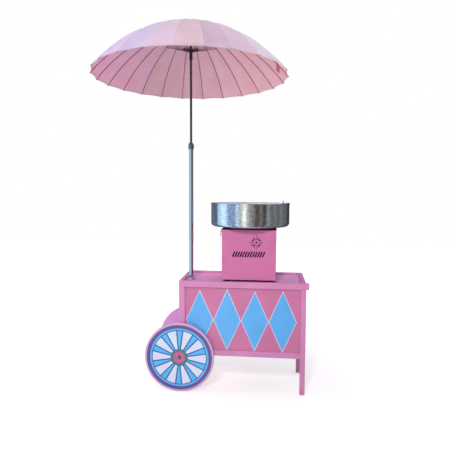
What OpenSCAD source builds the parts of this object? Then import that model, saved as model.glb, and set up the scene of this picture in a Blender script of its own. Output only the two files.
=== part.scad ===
// Cotton candy cart: a two-wheeled wooden stall with a candy machine on its deck and a folding parasol.
// Millimetres, +Z up, standing on the ground. The parasol's mast axis is at y = 0.

/* [Cart] */
// Width of the cart across its posts
cart_w = 800; // [700:5:900]
// Depth of the cart across its posts
cart_d = 380; // [375:5:480]
// Height of the top rails above the ground
cart_h = 712; // [640:4:800]
// Side of the square posts and depth of the legs
post_s = 38; // [34:1:44]
// Width of the legs, seen from the front
leg_w = 31; // [28:1:44]
// Height of the top rails
top_rail_h = 39; // [36:1:50]
// Thickness of the top rails
top_rail_t = 28; // [22:1:32]
// Length of the front top rail past the right leg
rail_stub = 17; // [0:1:40]
// Height of the bottom rails
bottom_rail_h = 36; // [28:1:45]
// Thickness of the bottom rails
bottom_rail_t = 28; // [22:1:32]
// Thickness of the front and side panels
panel_t = 9; // [6:0.5:12]
// Depth of the panels behind the faces of the posts
panel_set = 10; // [6:0.5:14]
// Thickness of the deck
deck_t = 26; // [18:1:32]
// Thickness of the floor board
floor_t = 12; // [9:0.5:18]

/* [Wheels] */
// Outer radius of the wheels
wheel_r = 223; // [200:1:245]
// Thickness of the wheels
wheel_t = 20; // [18:1:28]
// Rounding of the wheels' edges
wheel_edge = 2.5; // [1:0.5:4]
// Gap between the wheels and the faces of the posts
wheel_gap = 6; // [5:0.5:16]
// Radius of the boss on the inner side of a wheel
hub_boss_r = 26; // [20:1:34]
// Diameter of the axle
axle_d = 12; // [10:0.5:14]
// Distance of the axle behind the left faces of the posts
axle_inset = 6; // [4:0.5:22]
// Distance that the axle's blocks stand out to the left of the posts
block_out = 8; // [4:0.5:12]
// Wood above the axle in its blocks
block_roof = 5.5; // [5:0.5:14]
// Wood below the axle in its blocks
block_floor = 11; // [6:0.5:16]
// Radius of the axle washers
washer_r = 13; // [12:0.5:18]
// Thickness of the axle washers
washer_t = 2; // [1.5:0.5:3]
// Width across the corners of the axle nuts
nut_d = 22; // [20:0.5:26]
// Height of the axle nuts' hexagon
nut_t = 7; // [5:0.5:12]
// Height of the axle nuts' dome
nut_dome = 7; // [4:0.5:9]

/* [Mast] */
// Distance of the mast behind the front face of the cart
mast_inset_y = 115; // [90:1:200]
// Gap between the left rail and the mast's flange
flange_gap = 2; // [1:0.5:10]
// Diameter of the mast tube
mast_d = 28; // [24:0.5:32]
// Wall of the mast tube
mast_wall = 1.5; // [1:0.1:2]
// Length of the mast tube above the floor board
mast_l = 1290; // [1150:1:1400]
// Length of the guide neck inside the top of the mast tube
neck_l = 25; // [18:1:40]
// Diameter of the mast flanges
flange_d = 60; // [54:1:70]
// Thickness of the mast flanges' plate
flange_t = 4; // [3:0.5:6]
// Height of the mast flanges' collar
flange_h = 16; // [10:1:30]
// Wall of the mast flanges' collar
flange_wall = 3; // [2:0.5:5]
// Diameter of the lock collar
collar_d = 36; // [35:0.5:42]
// Height of the lock collar over the mast tube
collar_grip = 25; // [18:1:35]
// Height of the lock collar over the parasol's shaft
collar_nose = 16; // [12:1:24]
// Depth of the lock collar's grip grooves
groove_depth = 1; // [0.5:0.1:1.5]

/* [Parasol] */
// Diameter of the parasol's shaft
shaft_d = 15; // [13:0.5:17]
// Wall of the parasol's shaft
shaft_wall = 1.5; // [1:0.1:2]
// Length of the shaft inside the mast tube
shaft_in = 435; // [380:1:480]
// Length of the guide plug on the shaft's lower end
plug_l = 22; // [15:1:40]
// Height of the canopy's crown above the mast tube
crown_rise = 748; // [720:1:800]
// Radius of the canopy at its ribs' tips
canopy_r = 616; // [600:1:650]
// Height of the canopy from its rim to its crown
canopy_h = 325; // [310:1:345]
// Slope of the ribs at the crown, in degrees
crown_slope = 5; // [4:0.5:7]
// Turn of the ribs about the mast, in degrees
rib_phase = 1.5; // [0:0.5:7]
// Thickness of the cloth
cloth_t = 1; // [0.6:0.1:1.5]
// Inward sag of the cloth between the ribs, at the hem
cloth_sag = 5; // [0:0.5:8]
// Rise of the scalloped hem between the ribs
hem_rise = 7; // [0:0.5:12]
// Diameter of the ribs
rib_d = 4.2; // [3.6:0.1:4.6]
// Diameter of the beads on the ribs' tips
tip_d = 8; // [6:0.5:10]
// Distance of the stretcher lugs from the mast axis
lug_r = 270; // [250:1:290]
// Drop of the stretcher pins below the ribs
lug_drop = 6.5; // [6:0.1:8]
// Diameter of the stretchers
stretcher_d = 3; // [2.4:0.1:3.6]

/* [Parasol hub] */
// Radius of the rib ring in the crown notch
hinge_r = 16; // [15.5:0.1:18]
// Thickness of the crown notch and the runner's notch
notch_t = 6; // [5:0.5:7]
// Metal left outside the hinge rings in the two notches
notch_lip = 4; // [3.5:0.1:4.5]
// Radius of the stretcher ring in the runner
runner_ring_r = 26; // [24:0.5:32]
// Height of the crown above the stretcher ring
runner_drop = 157; // [145:1:170]
// Wall of the runner's sleeve
sleeve_wall = 2.2; // [1.6:0.1:3]
// Length of the runner's sleeve
sleeve_l = 46; // [36:1:56]
// Diameter of the flare at the bottom of the runner
flare_d = 27; // [24:0.5:30]
// Height of the flare at the bottom of the runner
flare_h = 7; // [5:0.5:10]
// Radius of the cap on top of the canopy
cap_r = 18; // [14:0.5:24]
// Height of the cap on top of the canopy
cap_h = 8; // [7:0.5:14]
// Diameter of the stud that holds the cap
stud_d = 8; // [6:0.5:9]
// Height of the crown notch's boss round the shaft
boss_h = 16; // [12:1:24]
// Wall of the crown notch's boss round the shaft
boss_wall = 2.5; // [2:0.1:3]

/* [Machine] */
// Distance of the machine's housing from the left faces of the posts
machine_inset = 269; // [250:1:300]
// Distance of the machine's middle behind the cart's middle
machine_back = 8; // [0:1:10]
// Width of the housing
housing_w = 342; // [320:1:360]
// Depth of the housing
housing_d = 342; // [320:1:380]
// Height of the housing
housing_h = 320; // [305:1:350]
// Thickness of the housing's sheet metal
housing_wall = 1.5; // [1:0.1:2]
// Rounding of the housing's upright edges
housing_edge = 4; // [2.5:0.5:8]
// Gap between the housing's bottom and the tops of the rails
rail_clear = 10; // [0.5:0.5:14]
// Diameter of the rubber feet
foot_d = 32; // [24:1:40]
// Distance of the feet's centres from the housing's sides
foot_inset = 36; // [24:1:60]
// Thickness of the base plate
base_t = 2; // [1.5:0.1:4]

/* [Vents] */
// Distance of the sunburst's centre to the right of the housing's centre
burst_x = 47; // [30:1:60]
// Distance of the sunburst's centre below the housing's top
burst_drop = 82; // [70:1:100]
// Diameter of the sunburst's middle hole
burst_hole = 12; // [6:0.5:14]
// Inner radius of the sunburst's rays
ray_in = 17; // [14:0.5:22]
// Outer radius of the sunburst's short rays
ray_short = 34; // [30:0.5:42]
// Outer radius of the sunburst's long rays
ray_long = 43; // [40:0.5:52]
// Width of the sunburst's short rays
ray_wide = 6.5; // [3:0.5:7]
// Width of the sunburst's long rays
ray_thin = 3; // [1.5:0.5:4]
// Number of slanted slots
slot_count = 13; // [8:1:14]
// Distance of the first slot's foot from the housing's left side
slot_x = 69; // [50:1:80]
// Distance of the slots' tops below the housing's top
slot_drop = 139; // [135:1:170]
// Height of the slots
slot_h = 36; // [30:1:50]
// Width of the slots
slot_w = 8.5; // [4:0.5:9.5]
// Distance from slot to slot
slot_pitch = 15.6; // [12:0.2:18]
// Lean of the slots, in degrees
slot_lean = 23.5; // [15:0.5:32]

/* [Bowl and head] */
// Diameter of the bowl
bowl_d = 520; // [480:1:540]
// Height of the bowl
bowl_h = 151; // [140:1:180]
// Thickness of the bowl's sheet
bowl_t = 1.2; // [0.8:0.1:1.6]
// Rounding of the bowl's lower edge
bowl_edge = 22; // [12:1:30]
// Diameter of the rolled rim's bead
bead_d = 6; // [4:0.5:8]
// Diameter of the hole in the bowl's bottom
bowl_hole = 150; // [130:1:170]
// Height of the collar round the hole in the bowl's bottom
bowl_lip = 14; // [8:1:24]
// Diameter of the net peg on the bowl's rim
peg_d = 2.5; // [2:0.1:4]
// Height of the net peg above the rim
peg_h = 14; // [8:1:20]
// Bearing of the net peg from the machine's right side, in degrees
peg_turn = -35; // [-80:1:-20]
// Height of the rubber gasket under the bowl
gasket_h = 11; // [6:0.5:16]
// Width of the gasket's ring
gasket_w = 36; // [24:1:60]
// Distance of the gasket's outer edge inside the housing's sides
gasket_inset = 5; // [3:0.5:12]
// Diameter of the spinner head
head_d = 104; // [90:1:112]
// Height of the spinner head
head_h = 92; // [70:1:110]
// Wall of the spinner head
head_wall = 4; // [3:0.5:6]
// Gap between the bowl's bottom and the spinner head
head_lift = 20; // [16:1:30]
// Diameter of the sugar opening in the spinner head
sugar_d = 56; // [40:1:70]
// Number of the spinner head's floss slits
slit_count = 16; // [12:1:24]
// Height of the floss slits
slit_h = 46; // [30:1:52]
// Width of the floss slits
slit_w = 3; // [2:0.5:5]
// Diameter of the drive shaft
drive_d = 12; // [10:0.5:16]
// Length of the drive shaft inside the motor
drive_in = 55; // [40:1:80]
// Diameter of the motor
motor_d = 112; // [90:1:130]
// Length of the motor
motor_l = 130; // [100:1:160]
// Diameter of the motor's flange
motor_flange_d = 150; // [140:1:180]
// Thickness of the motor's flange
motor_flange_t = 6; // [4:0.5:10]

/* [Controls and latch] */
// Distance of the heat knob's axis below the housing's top
knob_drop = 120; // [100:1:180]
// Distance of the heat knob's axis to the left of the housing's centre
knob_x = 70; // [40:1:110]
// Diameter of the heat knob
knob_d = 40; // [32:1:48]
// Height of the heat knob
knob_h = 19; // [14:1:26]
// Diameter of the heat knob's stem
stem_d = 6; // [5:0.5:9]
// Distance of the rocker switch below the housing's top
rocker_drop = 150; // [130:1:180]
// Height of the rocker switch
rocker_h = 34; // [26:1:44]
// Width of the rocker switch
rocker_w = 16; // [12:1:24]
// Depth of the rocker switch inside the housing
rocker_in = 8; // [6:0.5:14]
// Tilt of the rocker switch at rest, in degrees
rocker_tilt = 8; // [5:0.5:10]
// Distance of the latch's middle behind the housing's front
latch_inset = 55; // [40:1:150]
// Distance of the latch plate's top below the housing's top
latch_drop = 4; // [3:0.5:12]
// Height of the latch plate
latch_h = 46; // [40:1:60]
// Width of the latch plate
latch_w = 26; // [22:1:34]
// Thickness of the latch plate and its ears
latch_t = 1.6; // [1.2:0.1:2.4]
// Distance of the latch pin below the latch plate's top
latch_pin_drop = 12; // [9:0.5:16]
// Diameter of the latch pin
latch_pin_d = 3; // [2.4:0.1:4]
// Distance of the latch pin from the housing's side
latch_stand = 8; // [5.5:0.1:9]

/* [Hidden] */
rib_count = 24;
rib_names = [for (k = [1:rib_count]) str("rib_", k < 10 ? "0" : "", k)];

// Sides of round pieces: the usual count, small details, and long arcs and large rounds
$fn = 64;
small_fn = 16;
large_fn = 128;

// Clearances
run_gap = 0.08;
slide_gap = 0.15;
free_gap = 0.3;
joint_gap = 0.2;
cut_over = 1;

// Colours
frame_pink = "#db8cb6";
panel_pink = "#c976a5";
machine_pink = "#d27ab0";
cloth_pink = "#e6bcd2";
wheel_blue = "#5cb8ff";
steel = "#b9bcc2";
chrome = "#c9d0d8";
black = "#1c1a1e";
rib_maroon = "#5d1f2e";
wood = "#c9a27a";

// Places of the cart, its wheels and its mast
mast_inset_x = top_rail_t + flange_gap + flange_d / 2;
reach_left = min(mast_inset_x - canopy_r, axle_inset - wheel_r);
reach_right = max(mast_inset_x + canopy_r, cart_w + rail_stub);
left_x = -(reach_left + reach_right) / 2;
right_x = left_x + cart_w;
front_y = -mast_inset_y;
back_y = front_y + cart_d;
mast_x = left_x + mast_inset_x;
axle_x = left_x + axle_inset;
cabinet_z = wheel_r + axle_d / 2 + block_roof;
rail_top_z = cabinet_z + bottom_rail_h;
post_top_z = cart_h - top_rail_h;
deck_z = post_top_z + deck_t;
floor_z = rail_top_z + floor_t;
panel_in = panel_set + panel_t;

// Heights of the mast and the parasol
tube_top_z = floor_z + mast_l;
crown_z = tube_top_z + crown_rise;
shaft_bottom_z = tube_top_z - shaft_in;
ring_z = crown_z - runner_drop;

// The canopy's profile is an arc from the crown's slope to the rim's slope
rim_slope = 2 * atan(canopy_h / canopy_r) - crown_slope;
cloth_rad = canopy_r / (sin(rim_slope) - sin(crown_slope));
arc_r0 = -cloth_rad * sin(crown_slope);
arc_z0 = crown_z - cloth_rad * cos(crown_slope);
rib_rad = cloth_rad - free_gap - rib_d / 2;

// Radius and height of the point at a slope on an arc of the canopy's profile
function arc_r(slope, rad) = arc_r0 + rad * sin(slope);
function arc_z(slope, rad) = arc_z0 + rad * cos(slope);
// Slope of an arc where it is a given distance from the mast axis
function slope_at(r, rad) = asin((r - arc_r0) / rad);

// Hinge of the ribs in the crown notch
crown_disc_r = hinge_r + notch_lip;
crown_top_z = arc_z(slope_at(crown_disc_r, cloth_rad), cloth_rad) - free_gap;
hinge_z = crown_top_z - notch_t / 2;
wire_r = 0.6;
eye_r = 2.5;
tongue_t = 1.6;
tongue_h = 3.2;
slot_gap = 0.3;
tongue_slot = tongue_t + 2 * slot_gap;
rod_lead = notch_lip + 3;
rod_slope = slope_at(hinge_r + rod_lead, rib_rad);
rod_dr = arc_r(rod_slope, rib_rad) - hinge_r;
rod_dz = arc_z(rod_slope, rib_rad) - hinge_z;

// Link from the runner's ring to the lug of a rib
lug_slope = slope_at(lug_r, rib_rad);
pin_r = arc_r(lug_slope, rib_rad - lug_drop);
pin_z = arc_z(lug_slope, rib_rad - lug_drop);
link_dr = pin_r - runner_ring_r;
link_dz = pin_z - ring_z;
link_l = norm([link_dr, link_dz]);
lug_pin_r = 0.9;
lug_eye_r = 2.3;
cheek_t = 1.2;

// Places of the machine
machine_x = left_x + machine_inset + housing_w / 2;
machine_y = front_y + cart_d / 2 + machine_back;
housing_z = cart_h + rail_clear;
foot_h = housing_z - deck_z;
housing_top_z = housing_z + housing_h;
housing_left_x = machine_x - housing_w / 2;
bowl_z = housing_top_z + gasket_h;
head_z = bowl_z + head_lift;
knob_z = housing_top_z - knob_drop;
rocker_z = housing_top_z - rocker_drop;
trunnion_r = 1.5;
rocker_x = housing_left_x + housing_wall + free_gap + trunnion_r;
latch_top_z = housing_top_z - latch_drop;
latch_pin_z = latch_top_z - latch_pin_drop;
latch_y = machine_y - housing_d / 2 + latch_inset;

// Block between two corners
module slab(lo, hi) {
    translate(lo)
        cube(hi - lo);
}

// Upright box with rounded upright edges, from one corner
module soft_box(size, edge) {
    translate([edge, 0, 0])
        cube([size.x - 2 * edge, size.y, size.z]);
    translate([0, edge, 0])
        cube([size.x, size.y - 2 * edge, size.z]);
    for (x = [edge, size.x - edge], y = [edge, size.y - edge])
        translate([x, y, 0])
            cylinder(r = edge, h = size.z);
}

// Rod along +Y through the origin's plane, between two values of y
module rod_y(r, from, to) {
    translate([0, from, 0])
        rotate([-90, 0, 0])
            cylinder(r = r, h = to - from);
}

// Upright tube on the origin
module tube(r, bore, h) {
    difference() {
        cylinder(r = r, h = h);
        translate([0, 0, -cut_over])
            cylinder(r = bore, h = h + 2 * cut_over);
    }
}

// Square post on the left side, from the given place towards the back
module post(y) {
    slab([left_x, y, cabinet_z], [left_x + post_s, y + post_s, post_top_z]);
}

// Leg on the right side, from the given place towards the back
module leg(y) {
    slab([right_x - leg_w, y, 0], [right_x, y + post_s, post_top_z]);
}

module front_left_post() {
    color(frame_pink)
        post(front_y);
}

module rear_left_post() {
    color(frame_pink)
        post(back_y - post_s);
}

module front_right_leg() {
    color(frame_pink)
        leg(front_y);
}

module rear_right_leg() {
    color(frame_pink)
        leg(back_y - post_s);
}

module front_top_rail() {
    color(frame_pink)
        slab([left_x, front_y, post_top_z], [right_x + rail_stub, front_y + top_rail_t, cart_h]);
}

// Rear rail and the two end rails
module top_rails() {
    color(frame_pink) {
        slab([left_x, back_y - top_rail_t, post_top_z], [right_x, back_y, cart_h]);
        for (x = [left_x, right_x - top_rail_t])
            slab([x, front_y + top_rail_t, post_top_z],
                 [x + top_rail_t, back_y - top_rail_t - joint_gap, cart_h]);
    }
}

// Four rails between the posts, flush with their outer faces
module bottom_rails() {
    color(frame_pink) {
        for (y = [front_y, back_y - bottom_rail_t])
            slab([left_x + post_s, y, cabinet_z], [right_x - leg_w, y + bottom_rail_t, rail_top_z]);
        for (x = [left_x, right_x - bottom_rail_t])
            slab([x, front_y + post_s, cabinet_z], [x + bottom_rail_t, back_y - post_s, rail_top_z]);
    }
}

module front_panel() {
    color(panel_pink)
        slab([left_x + post_s, front_y + panel_set, rail_top_z],
             [right_x - leg_w, front_y + panel_in, post_top_z]);
}

module side_panels() {
    color(panel_pink)
        for (x = [left_x + panel_set, right_x - panel_in])
            slab([x, front_y + post_s, rail_top_z], [x + panel_t, back_y - post_s, post_top_z]);
}

// Board inside the rails, on the posts' tops, with a hole for the mast
module deck() {
    color(panel_pink)
        difference() {
            slab([left_x + top_rail_t, front_y + top_rail_t, post_top_z],
                 [right_x - top_rail_t, back_y - top_rail_t, deck_z]);
            translate([mast_x, 0, post_top_z - cut_over])
                cylinder(d = mast_d + 2 * free_gap, h = deck_t + 2 * cut_over);
        }
}

// Board on the bottom rails, cut out round the posts and open to the back
module floor_board() {
    color(wood)
        difference() {
            slab([left_x + panel_in, front_y + panel_in, rail_top_z],
                 [right_x - panel_in, back_y, floor_z]);
            for (x = [left_x, right_x - leg_w], y = [front_y, back_y - post_s])
                slab([x, y, rail_top_z - cut_over],
                     [x == left_x ? left_x + post_s : right_x, y + post_s, floor_z + cut_over]);
        }
}

// Drilled blocks under the left posts
module axle_blocks() {
    color(frame_pink)
        for (y = [front_y, back_y - post_s])
            difference() {
                slab([left_x - block_out, y, wheel_r - axle_d / 2 - block_floor],
                     [left_x + post_s, y + post_s, cabinet_z]);
                translate([axle_x, 0, wheel_r])
                    rod_y(axle_d / 2 + run_gap, y - cut_over, y + post_s + cut_over);
            }
}

// The axle's ends stop just short of the nuts' blind bores
bore_end = free_gap + washer_t + nut_t;
axle_out = wheel_gap + wheel_t + bore_end - free_gap;

module axle() {
    color(steel)
        translate([axle_x, 0, wheel_r])
            rod_y(axle_d / 2, front_y - axle_out, back_y + axle_out);
}

// Washer and domed nut on one end of the axle, from the wheel's face outwards along +Y
module axle_fixing() {
    dome_steps = 6;
    dome_r = nut_d / 2 * cos(30) - joint_gap;
    dome_turns = [for (k = [0:dome_steps]) 90 * k / dome_steps];
    difference() {
        union() {
            rod_y(washer_r, free_gap, free_gap + washer_t);
            translate([0, free_gap + washer_t, 0])
                rotate([-90, 0, 0])
                    cylinder(d = nut_d, h = nut_t, $fn = 6);
            translate([0, bore_end, 0])
                rotate([-90, 0, 0])
                    rotate_extrude()
                        polygon(concat([[0, 0]],
                                       [for (a = dome_turns) [dome_r * cos(a), nut_dome * sin(a)]]));
        }
        rod_y(axle_d / 2 + run_gap, 0, bore_end);
    }
}

module axle_nuts() {
    color(steel)
        translate([axle_x, 0, wheel_r]) {
            translate([0, back_y + wheel_gap + wheel_t, 0])
                axle_fixing();
            translate([0, front_y - wheel_gap - wheel_t, 0])
                mirror([0, 1, 0])
                    axle_fixing();
        }
}

// Disc wheel with rounded edges; its inner face is at y = 0 and its boss points to -Y
module wheel() {
    bore = axle_d / 2 + run_gap;
    edge_steps = 5;
    arc = [for (k = [0:edge_steps]) 90 * k / edge_steps];
    rotate([-90, 0, 0])
        rotate_extrude($fn = large_fn)
            polygon(concat(
                [[bore, free_gap - wheel_gap], [hub_boss_r, free_gap - wheel_gap], [hub_boss_r, 0]],
                [for (a = arc)
                    [wheel_r - wheel_edge + wheel_edge * sin(a), wheel_edge - wheel_edge * cos(a)]],
                [for (a = arc)
                    [wheel_r - wheel_edge + wheel_edge * cos(a), wheel_t - wheel_edge + wheel_edge * sin(a)]],
                [[bore, wheel_t]]));
}

module front_wheel() {
    color(wheel_blue)
        translate([axle_x, front_y - wheel_gap, wheel_r])
            mirror([0, 1, 0])
                wheel();
}

module rear_wheel() {
    color(wheel_blue)
        translate([axle_x, back_y + wheel_gap, wheel_r])
            wheel();
}

// Lower mast: a tube on the floor board with a guide neck in its mouth
module mast_tube() {
    color(chrome)
        translate([mast_x, 0, floor_z])
            difference() {
                cylinder(d = mast_d, h = mast_l);
                translate([0, 0, -cut_over])
                    cylinder(d = mast_d - 2 * mast_wall, h = mast_l - neck_l + cut_over);
                cylinder(d = shaft_d + 2 * slide_gap, h = mast_l + cut_over);
            }
}

// Screwed flange with a collar round the mast tube
module flange() {
    bore = mast_d / 2 + run_gap;
    rotate_extrude()
        polygon([[bore, 0], [flange_d / 2, 0], [flange_d / 2, flange_t / 2],
                 [flange_d / 2 - flange_t / 2, flange_t], [bore + flange_wall, flange_t],
                 [bore + flange_wall, flange_h], [bore, flange_h]]);
}

module mast_flanges() {
    color(chrome)
        for (z = [floor_z, deck_z])
            translate([mast_x, 0, z])
                flange();
}

// Twist collar that locks the shaft in the mast tube
module lock_collar() {
    groove_count = 12;
    groove_d = 3;
    over_tube = mast_d / 2 + slide_gap;
    over_shaft = shaft_d / 2 + slide_gap;
    nose_r = over_shaft + flange_wall;
    color(chrome)
        translate([mast_x, 0, tube_top_z])
            difference() {
                rotate_extrude()
                    polygon([[over_tube, -collar_grip], [collar_d / 2, -collar_grip],
                             [collar_d / 2, collar_nose / 4],
                             [nose_r, collar_nose], [over_shaft, collar_nose], [over_shaft, slide_gap],
                             [over_tube, slide_gap]]);
                for (k = [1:groove_count])
                    rotate([0, 0, 360 * k / groove_count])
                        translate([collar_d / 2 + groove_d / 2 - groove_depth, 0, -collar_grip + groove_d])
                            cylinder(d = groove_d, h = collar_grip - 2 * groove_d, $fn = small_fn);
            }
}

// Parasol shaft: a tube with a guide plug below and a stud for the cap above
module umbrella_shaft() {
    plug_d = mast_d - 2 * mast_wall - 2 * slide_gap;
    tube_l = hinge_z - notch_t / 2 - shaft_bottom_z;
    color(black)
        translate([mast_x, 0, shaft_bottom_z]) {
            difference() {
                union() {
                    cylinder(d = shaft_d, h = tube_l);
                    cylinder(d = plug_d, h = plug_l);
                }
                translate([0, 0, -cut_over])
                    cylinder(d = shaft_d - 2 * shaft_wall, h = tube_l - plug_l + cut_over);
            }
            translate([0, 0, tube_l])
                cylinder(d = stud_d, h = notch_t + cap_h);
        }
}

// Slotted disc with a wire ring across its slots, centred on its ring
module notch_disc(ring_r, bore) {
    slot_in = ring_r - eye_r - 2 * slot_gap;
    disc_r = ring_r + notch_lip;
    difference() {
        cylinder(r = disc_r, h = notch_t, center = true);
        cylinder(r = bore, h = notch_t + 2 * cut_over, center = true);
        for (k = [0:rib_count - 1])
            rotate([0, 0, rib_phase + 360 * k / rib_count])
                translate([slot_in, -tongue_slot / 2, -notch_t / 2 - cut_over])
                    cube([disc_r, tongue_slot, notch_t + 2 * cut_over]);
    }
    rotate_extrude()
        translate([ring_r, 0])
            circle(r = wire_r, $fn = small_fn);
}

module crown_notch() {
    color(black)
        translate([mast_x, 0, hinge_z]) {
            notch_disc(hinge_r, stud_d / 2 + run_gap);
            translate([0, 0, -notch_t / 2 - boss_h])
                tube(shaft_d / 2 + run_gap + boss_wall, shaft_d / 2 + run_gap, boss_h);
        }
}

// Domed cap screwed on the stud above the cloth
module top_cap() {
    dome_steps = 8;
    lift = crown_z + cloth_t + free_gap;
    stud_top = hinge_z + notch_t / 2 + cap_h + free_gap;
    color(black)
        difference() {
            translate([mast_x, 0, lift])
                rotate_extrude()
                    polygon(concat([[0, 0]], [for (k = [0:dome_steps])
                        [cap_r * cos(90 * k / dome_steps), cap_h * sin(90 * k / dome_steps)]]));
            translate([mast_x, 0, lift - cut_over])
                cylinder(d = stud_d + 2 * run_gap, h = stud_top - lift + cut_over);
        }
}

// Cloth cover: one gore between each two ribs, drawn in between them, with a scalloped hem
cloth_rows = 12;
cloth_cols = 2 * rib_count;
cloth_hole_r = stud_d / 2 + 2;
cloth_slope_in = slope_at(cloth_hole_r, cloth_rad);
hem_slope = rim_slope - tip_d / 2 / cloth_rad * 180 / PI;
scallop = hem_rise / cloth_rad * 180 / PI;
// Lift of the cloth's points, so that its flat facets lie on the arc and not under it
cloth_fit = cloth_rad / cos((hem_slope - cloth_slope_in) / cloth_rows / 2);
function between(col) = col % 2;
function cloth_slope(col, row) =
    cloth_slope_in + (hem_slope - between(col) * scallop - cloth_slope_in) * row / cloth_rows;
function cloth_level(col, row, lift) = cloth_fit + lift - between(col) * cloth_sag * row / cloth_rows;
function cloth_point(col, row, lift) =
    let (slope = cloth_slope(col, row),
         rad = cloth_level(col, row, lift),
         bearing = rib_phase + 180 * col / rib_count,
         r = arc_r(slope, rad) * (between(col) == 1 ? cos(180 / rib_count) : 1))
    [r * cos(bearing), r * sin(bearing), arc_z(slope, rad)];
function cloth_index(col, row, side) = (side * cloth_cols + col % cloth_cols) * (cloth_rows + 1) + row;

module canopy() {
    points = [for (side = [0, 1], col = [0:cloth_cols - 1], row = [0:cloth_rows])
        cloth_point(col, row, side * cloth_t)];
    under = [for (col = [0:cloth_cols - 1], row = [0:cloth_rows - 1], half = [0, 1])
        half == 0
            ? [cloth_index(col, row, 0), cloth_index(col + 1, row, 0), cloth_index(col + 1, row + 1, 0)]
            : [cloth_index(col, row, 0), cloth_index(col + 1, row + 1, 0), cloth_index(col, row + 1, 0)]];
    over = [for (col = [0:cloth_cols - 1], row = [0:cloth_rows - 1], half = [0, 1])
        half == 0
            ? [cloth_index(col, row, 1), cloth_index(col + 1, row + 1, 1), cloth_index(col + 1, row, 1)]
            : [cloth_index(col, row, 1), cloth_index(col, row + 1, 1), cloth_index(col + 1, row + 1, 1)]];
    hem = [for (col = [0:cloth_cols - 1], half = [0, 1])
        half == 0
            ? [cloth_index(col, cloth_rows, 0), cloth_index(col + 1, cloth_rows, 0),
               cloth_index(col + 1, cloth_rows, 1)]
            : [cloth_index(col, cloth_rows, 0), cloth_index(col + 1, cloth_rows, 1),
               cloth_index(col, cloth_rows, 1)]];
    hole = [for (col = [0:cloth_cols - 1], half = [0, 1])
        half == 0
            ? [cloth_index(col, 0, 0), cloth_index(col + 1, 0, 1), cloth_index(col + 1, 0, 0)]
            : [cloth_index(col, 0, 0), cloth_index(col, 0, 1), cloth_index(col + 1, 0, 1)]];
    color(cloth_pink)
        translate([mast_x, 0, 0])
            polyhedron(points = points, faces = concat(under, over, hem, hole));
}

// Curved rod with a hinge eye at the crown, a lug for its stretcher and a bead at its tip
module rib(k) {
    tongue_lap = 4;
    $fn = small_fn;
    color(rib_maroon)
        translate([mast_x, 0, 0])
            rotate([0, 0, rib_phase + 360 * k / rib_count])
                difference() {
                    union() {
                        translate([arc_r0, 0, arc_z0])
                            rotate([90, 0, 0])
                                rotate([0, 0, 90 - rim_slope])
                                    rotate_extrude(angle = rim_slope - rod_slope, $fn = large_fn)
                                        translate([rib_rad, 0])
                                            circle(d = rib_d, $fn = small_fn);
                        translate([arc_r(rim_slope, rib_rad), 0, arc_z(rim_slope, rib_rad)])
                            sphere(d = tip_d);
                        translate([hinge_r, 0, hinge_z]) {
                            rod_y(eye_r, -tongue_t / 2, tongue_t / 2);
                            rotate([0, -atan2(rod_dz, rod_dr), 0])
                                translate([0, -tongue_t / 2, -tongue_h / 2])
                                    cube([norm([rod_dr, rod_dz]) + tongue_lap, tongue_t, tongue_h]);
                        }
                        translate([arc_r0, 0, arc_z0])
                            rotate([0, lug_slope, 0])
                                translate([0, 0, rib_rad - lug_drop]) {
                                    rod_y(lug_eye_r, -tongue_t / 2, tongue_t / 2);
                                    translate([-lug_eye_r, -tongue_t / 2, 0])
                                        cube([2 * lug_eye_r, tongue_t, lug_drop]);
                                }
                    }
                    translate([hinge_r, 0, hinge_z])
                        rod_y(wire_r + slide_gap, -tongue_t, tongue_t);
                    translate([pin_r, 0, pin_z])
                        rod_y(lug_pin_r + slide_gap, -tongue_t, tongue_t);
                }
}

// Rod from the runner's ring to a rib's lug, which it straddles with a fork and a pin
module stretcher() {
    $fn = small_fn;
    fork_l = 9;
    fork_w = tongue_t + 2 * free_gap + 2 * cheek_t;
    fork_h = stretcher_d;
    translate([runner_ring_r, 0, ring_z])
        rotate([0, -atan2(link_dz, link_dr), 0]) {
            difference() {
                union() {
                    rod_y(eye_r, -tongue_t / 2, tongue_t / 2);
                    translate([0, -tongue_t / 2, -tongue_h / 2])
                        cube([rod_lead + fork_l, tongue_t, tongue_h]);
                }
                rod_y(wire_r + slide_gap, -tongue_t, tongue_t);
            }
            translate([rod_lead, 0, 0])
                rotate([0, 90, 0])
                    cylinder(d = stretcher_d, h = link_l - rod_lead - fork_l);
            difference() {
                union() {
                    translate([link_l - fork_l - stretcher_d, -fork_w / 2, -fork_h / 2])
                        cube([fork_l + stretcher_d, fork_w, fork_h]);
                    translate([link_l, 0, 0])
                        rod_y(fork_h / 2, -fork_w / 2, fork_w / 2);
                }
                translate([link_l - lug_eye_r - free_gap - lug_drop / 2, -tongue_t / 2 - free_gap, -fork_h])
                    cube([fork_l + lug_drop, tongue_t + 2 * free_gap, 2 * fork_h]);
            }
            translate([link_l, 0, 0])
                rod_y(lug_pin_r, -fork_w / 2, fork_w / 2);
        }
}

module stretchers() {
    color(black)
        translate([mast_x, 0, 0])
            for (k = [0:rib_count - 1])
                rotate([0, 0, rib_phase + 360 * k / rib_count])
                    stretcher();
}

// Sliding runner: a slotted disc for the stretchers on a flared sleeve
module runner() {
    bore = shaft_d / 2 + slide_gap;
    sleeve_r = bore + sleeve_wall;
    color(black)
        translate([mast_x, 0, ring_z]) {
            notch_disc(runner_ring_r, bore);
            translate([0, 0, -notch_t / 2])
                rotate_extrude()
                    polygon([[bore, 0], [bore, -sleeve_l], [flare_d / 2, -sleeve_l],
                             [flare_d / 2, flare_h / 2 - sleeve_l], [sleeve_r, flare_h - sleeve_l],
                             [sleeve_r, 0]]);
        }
}

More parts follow.
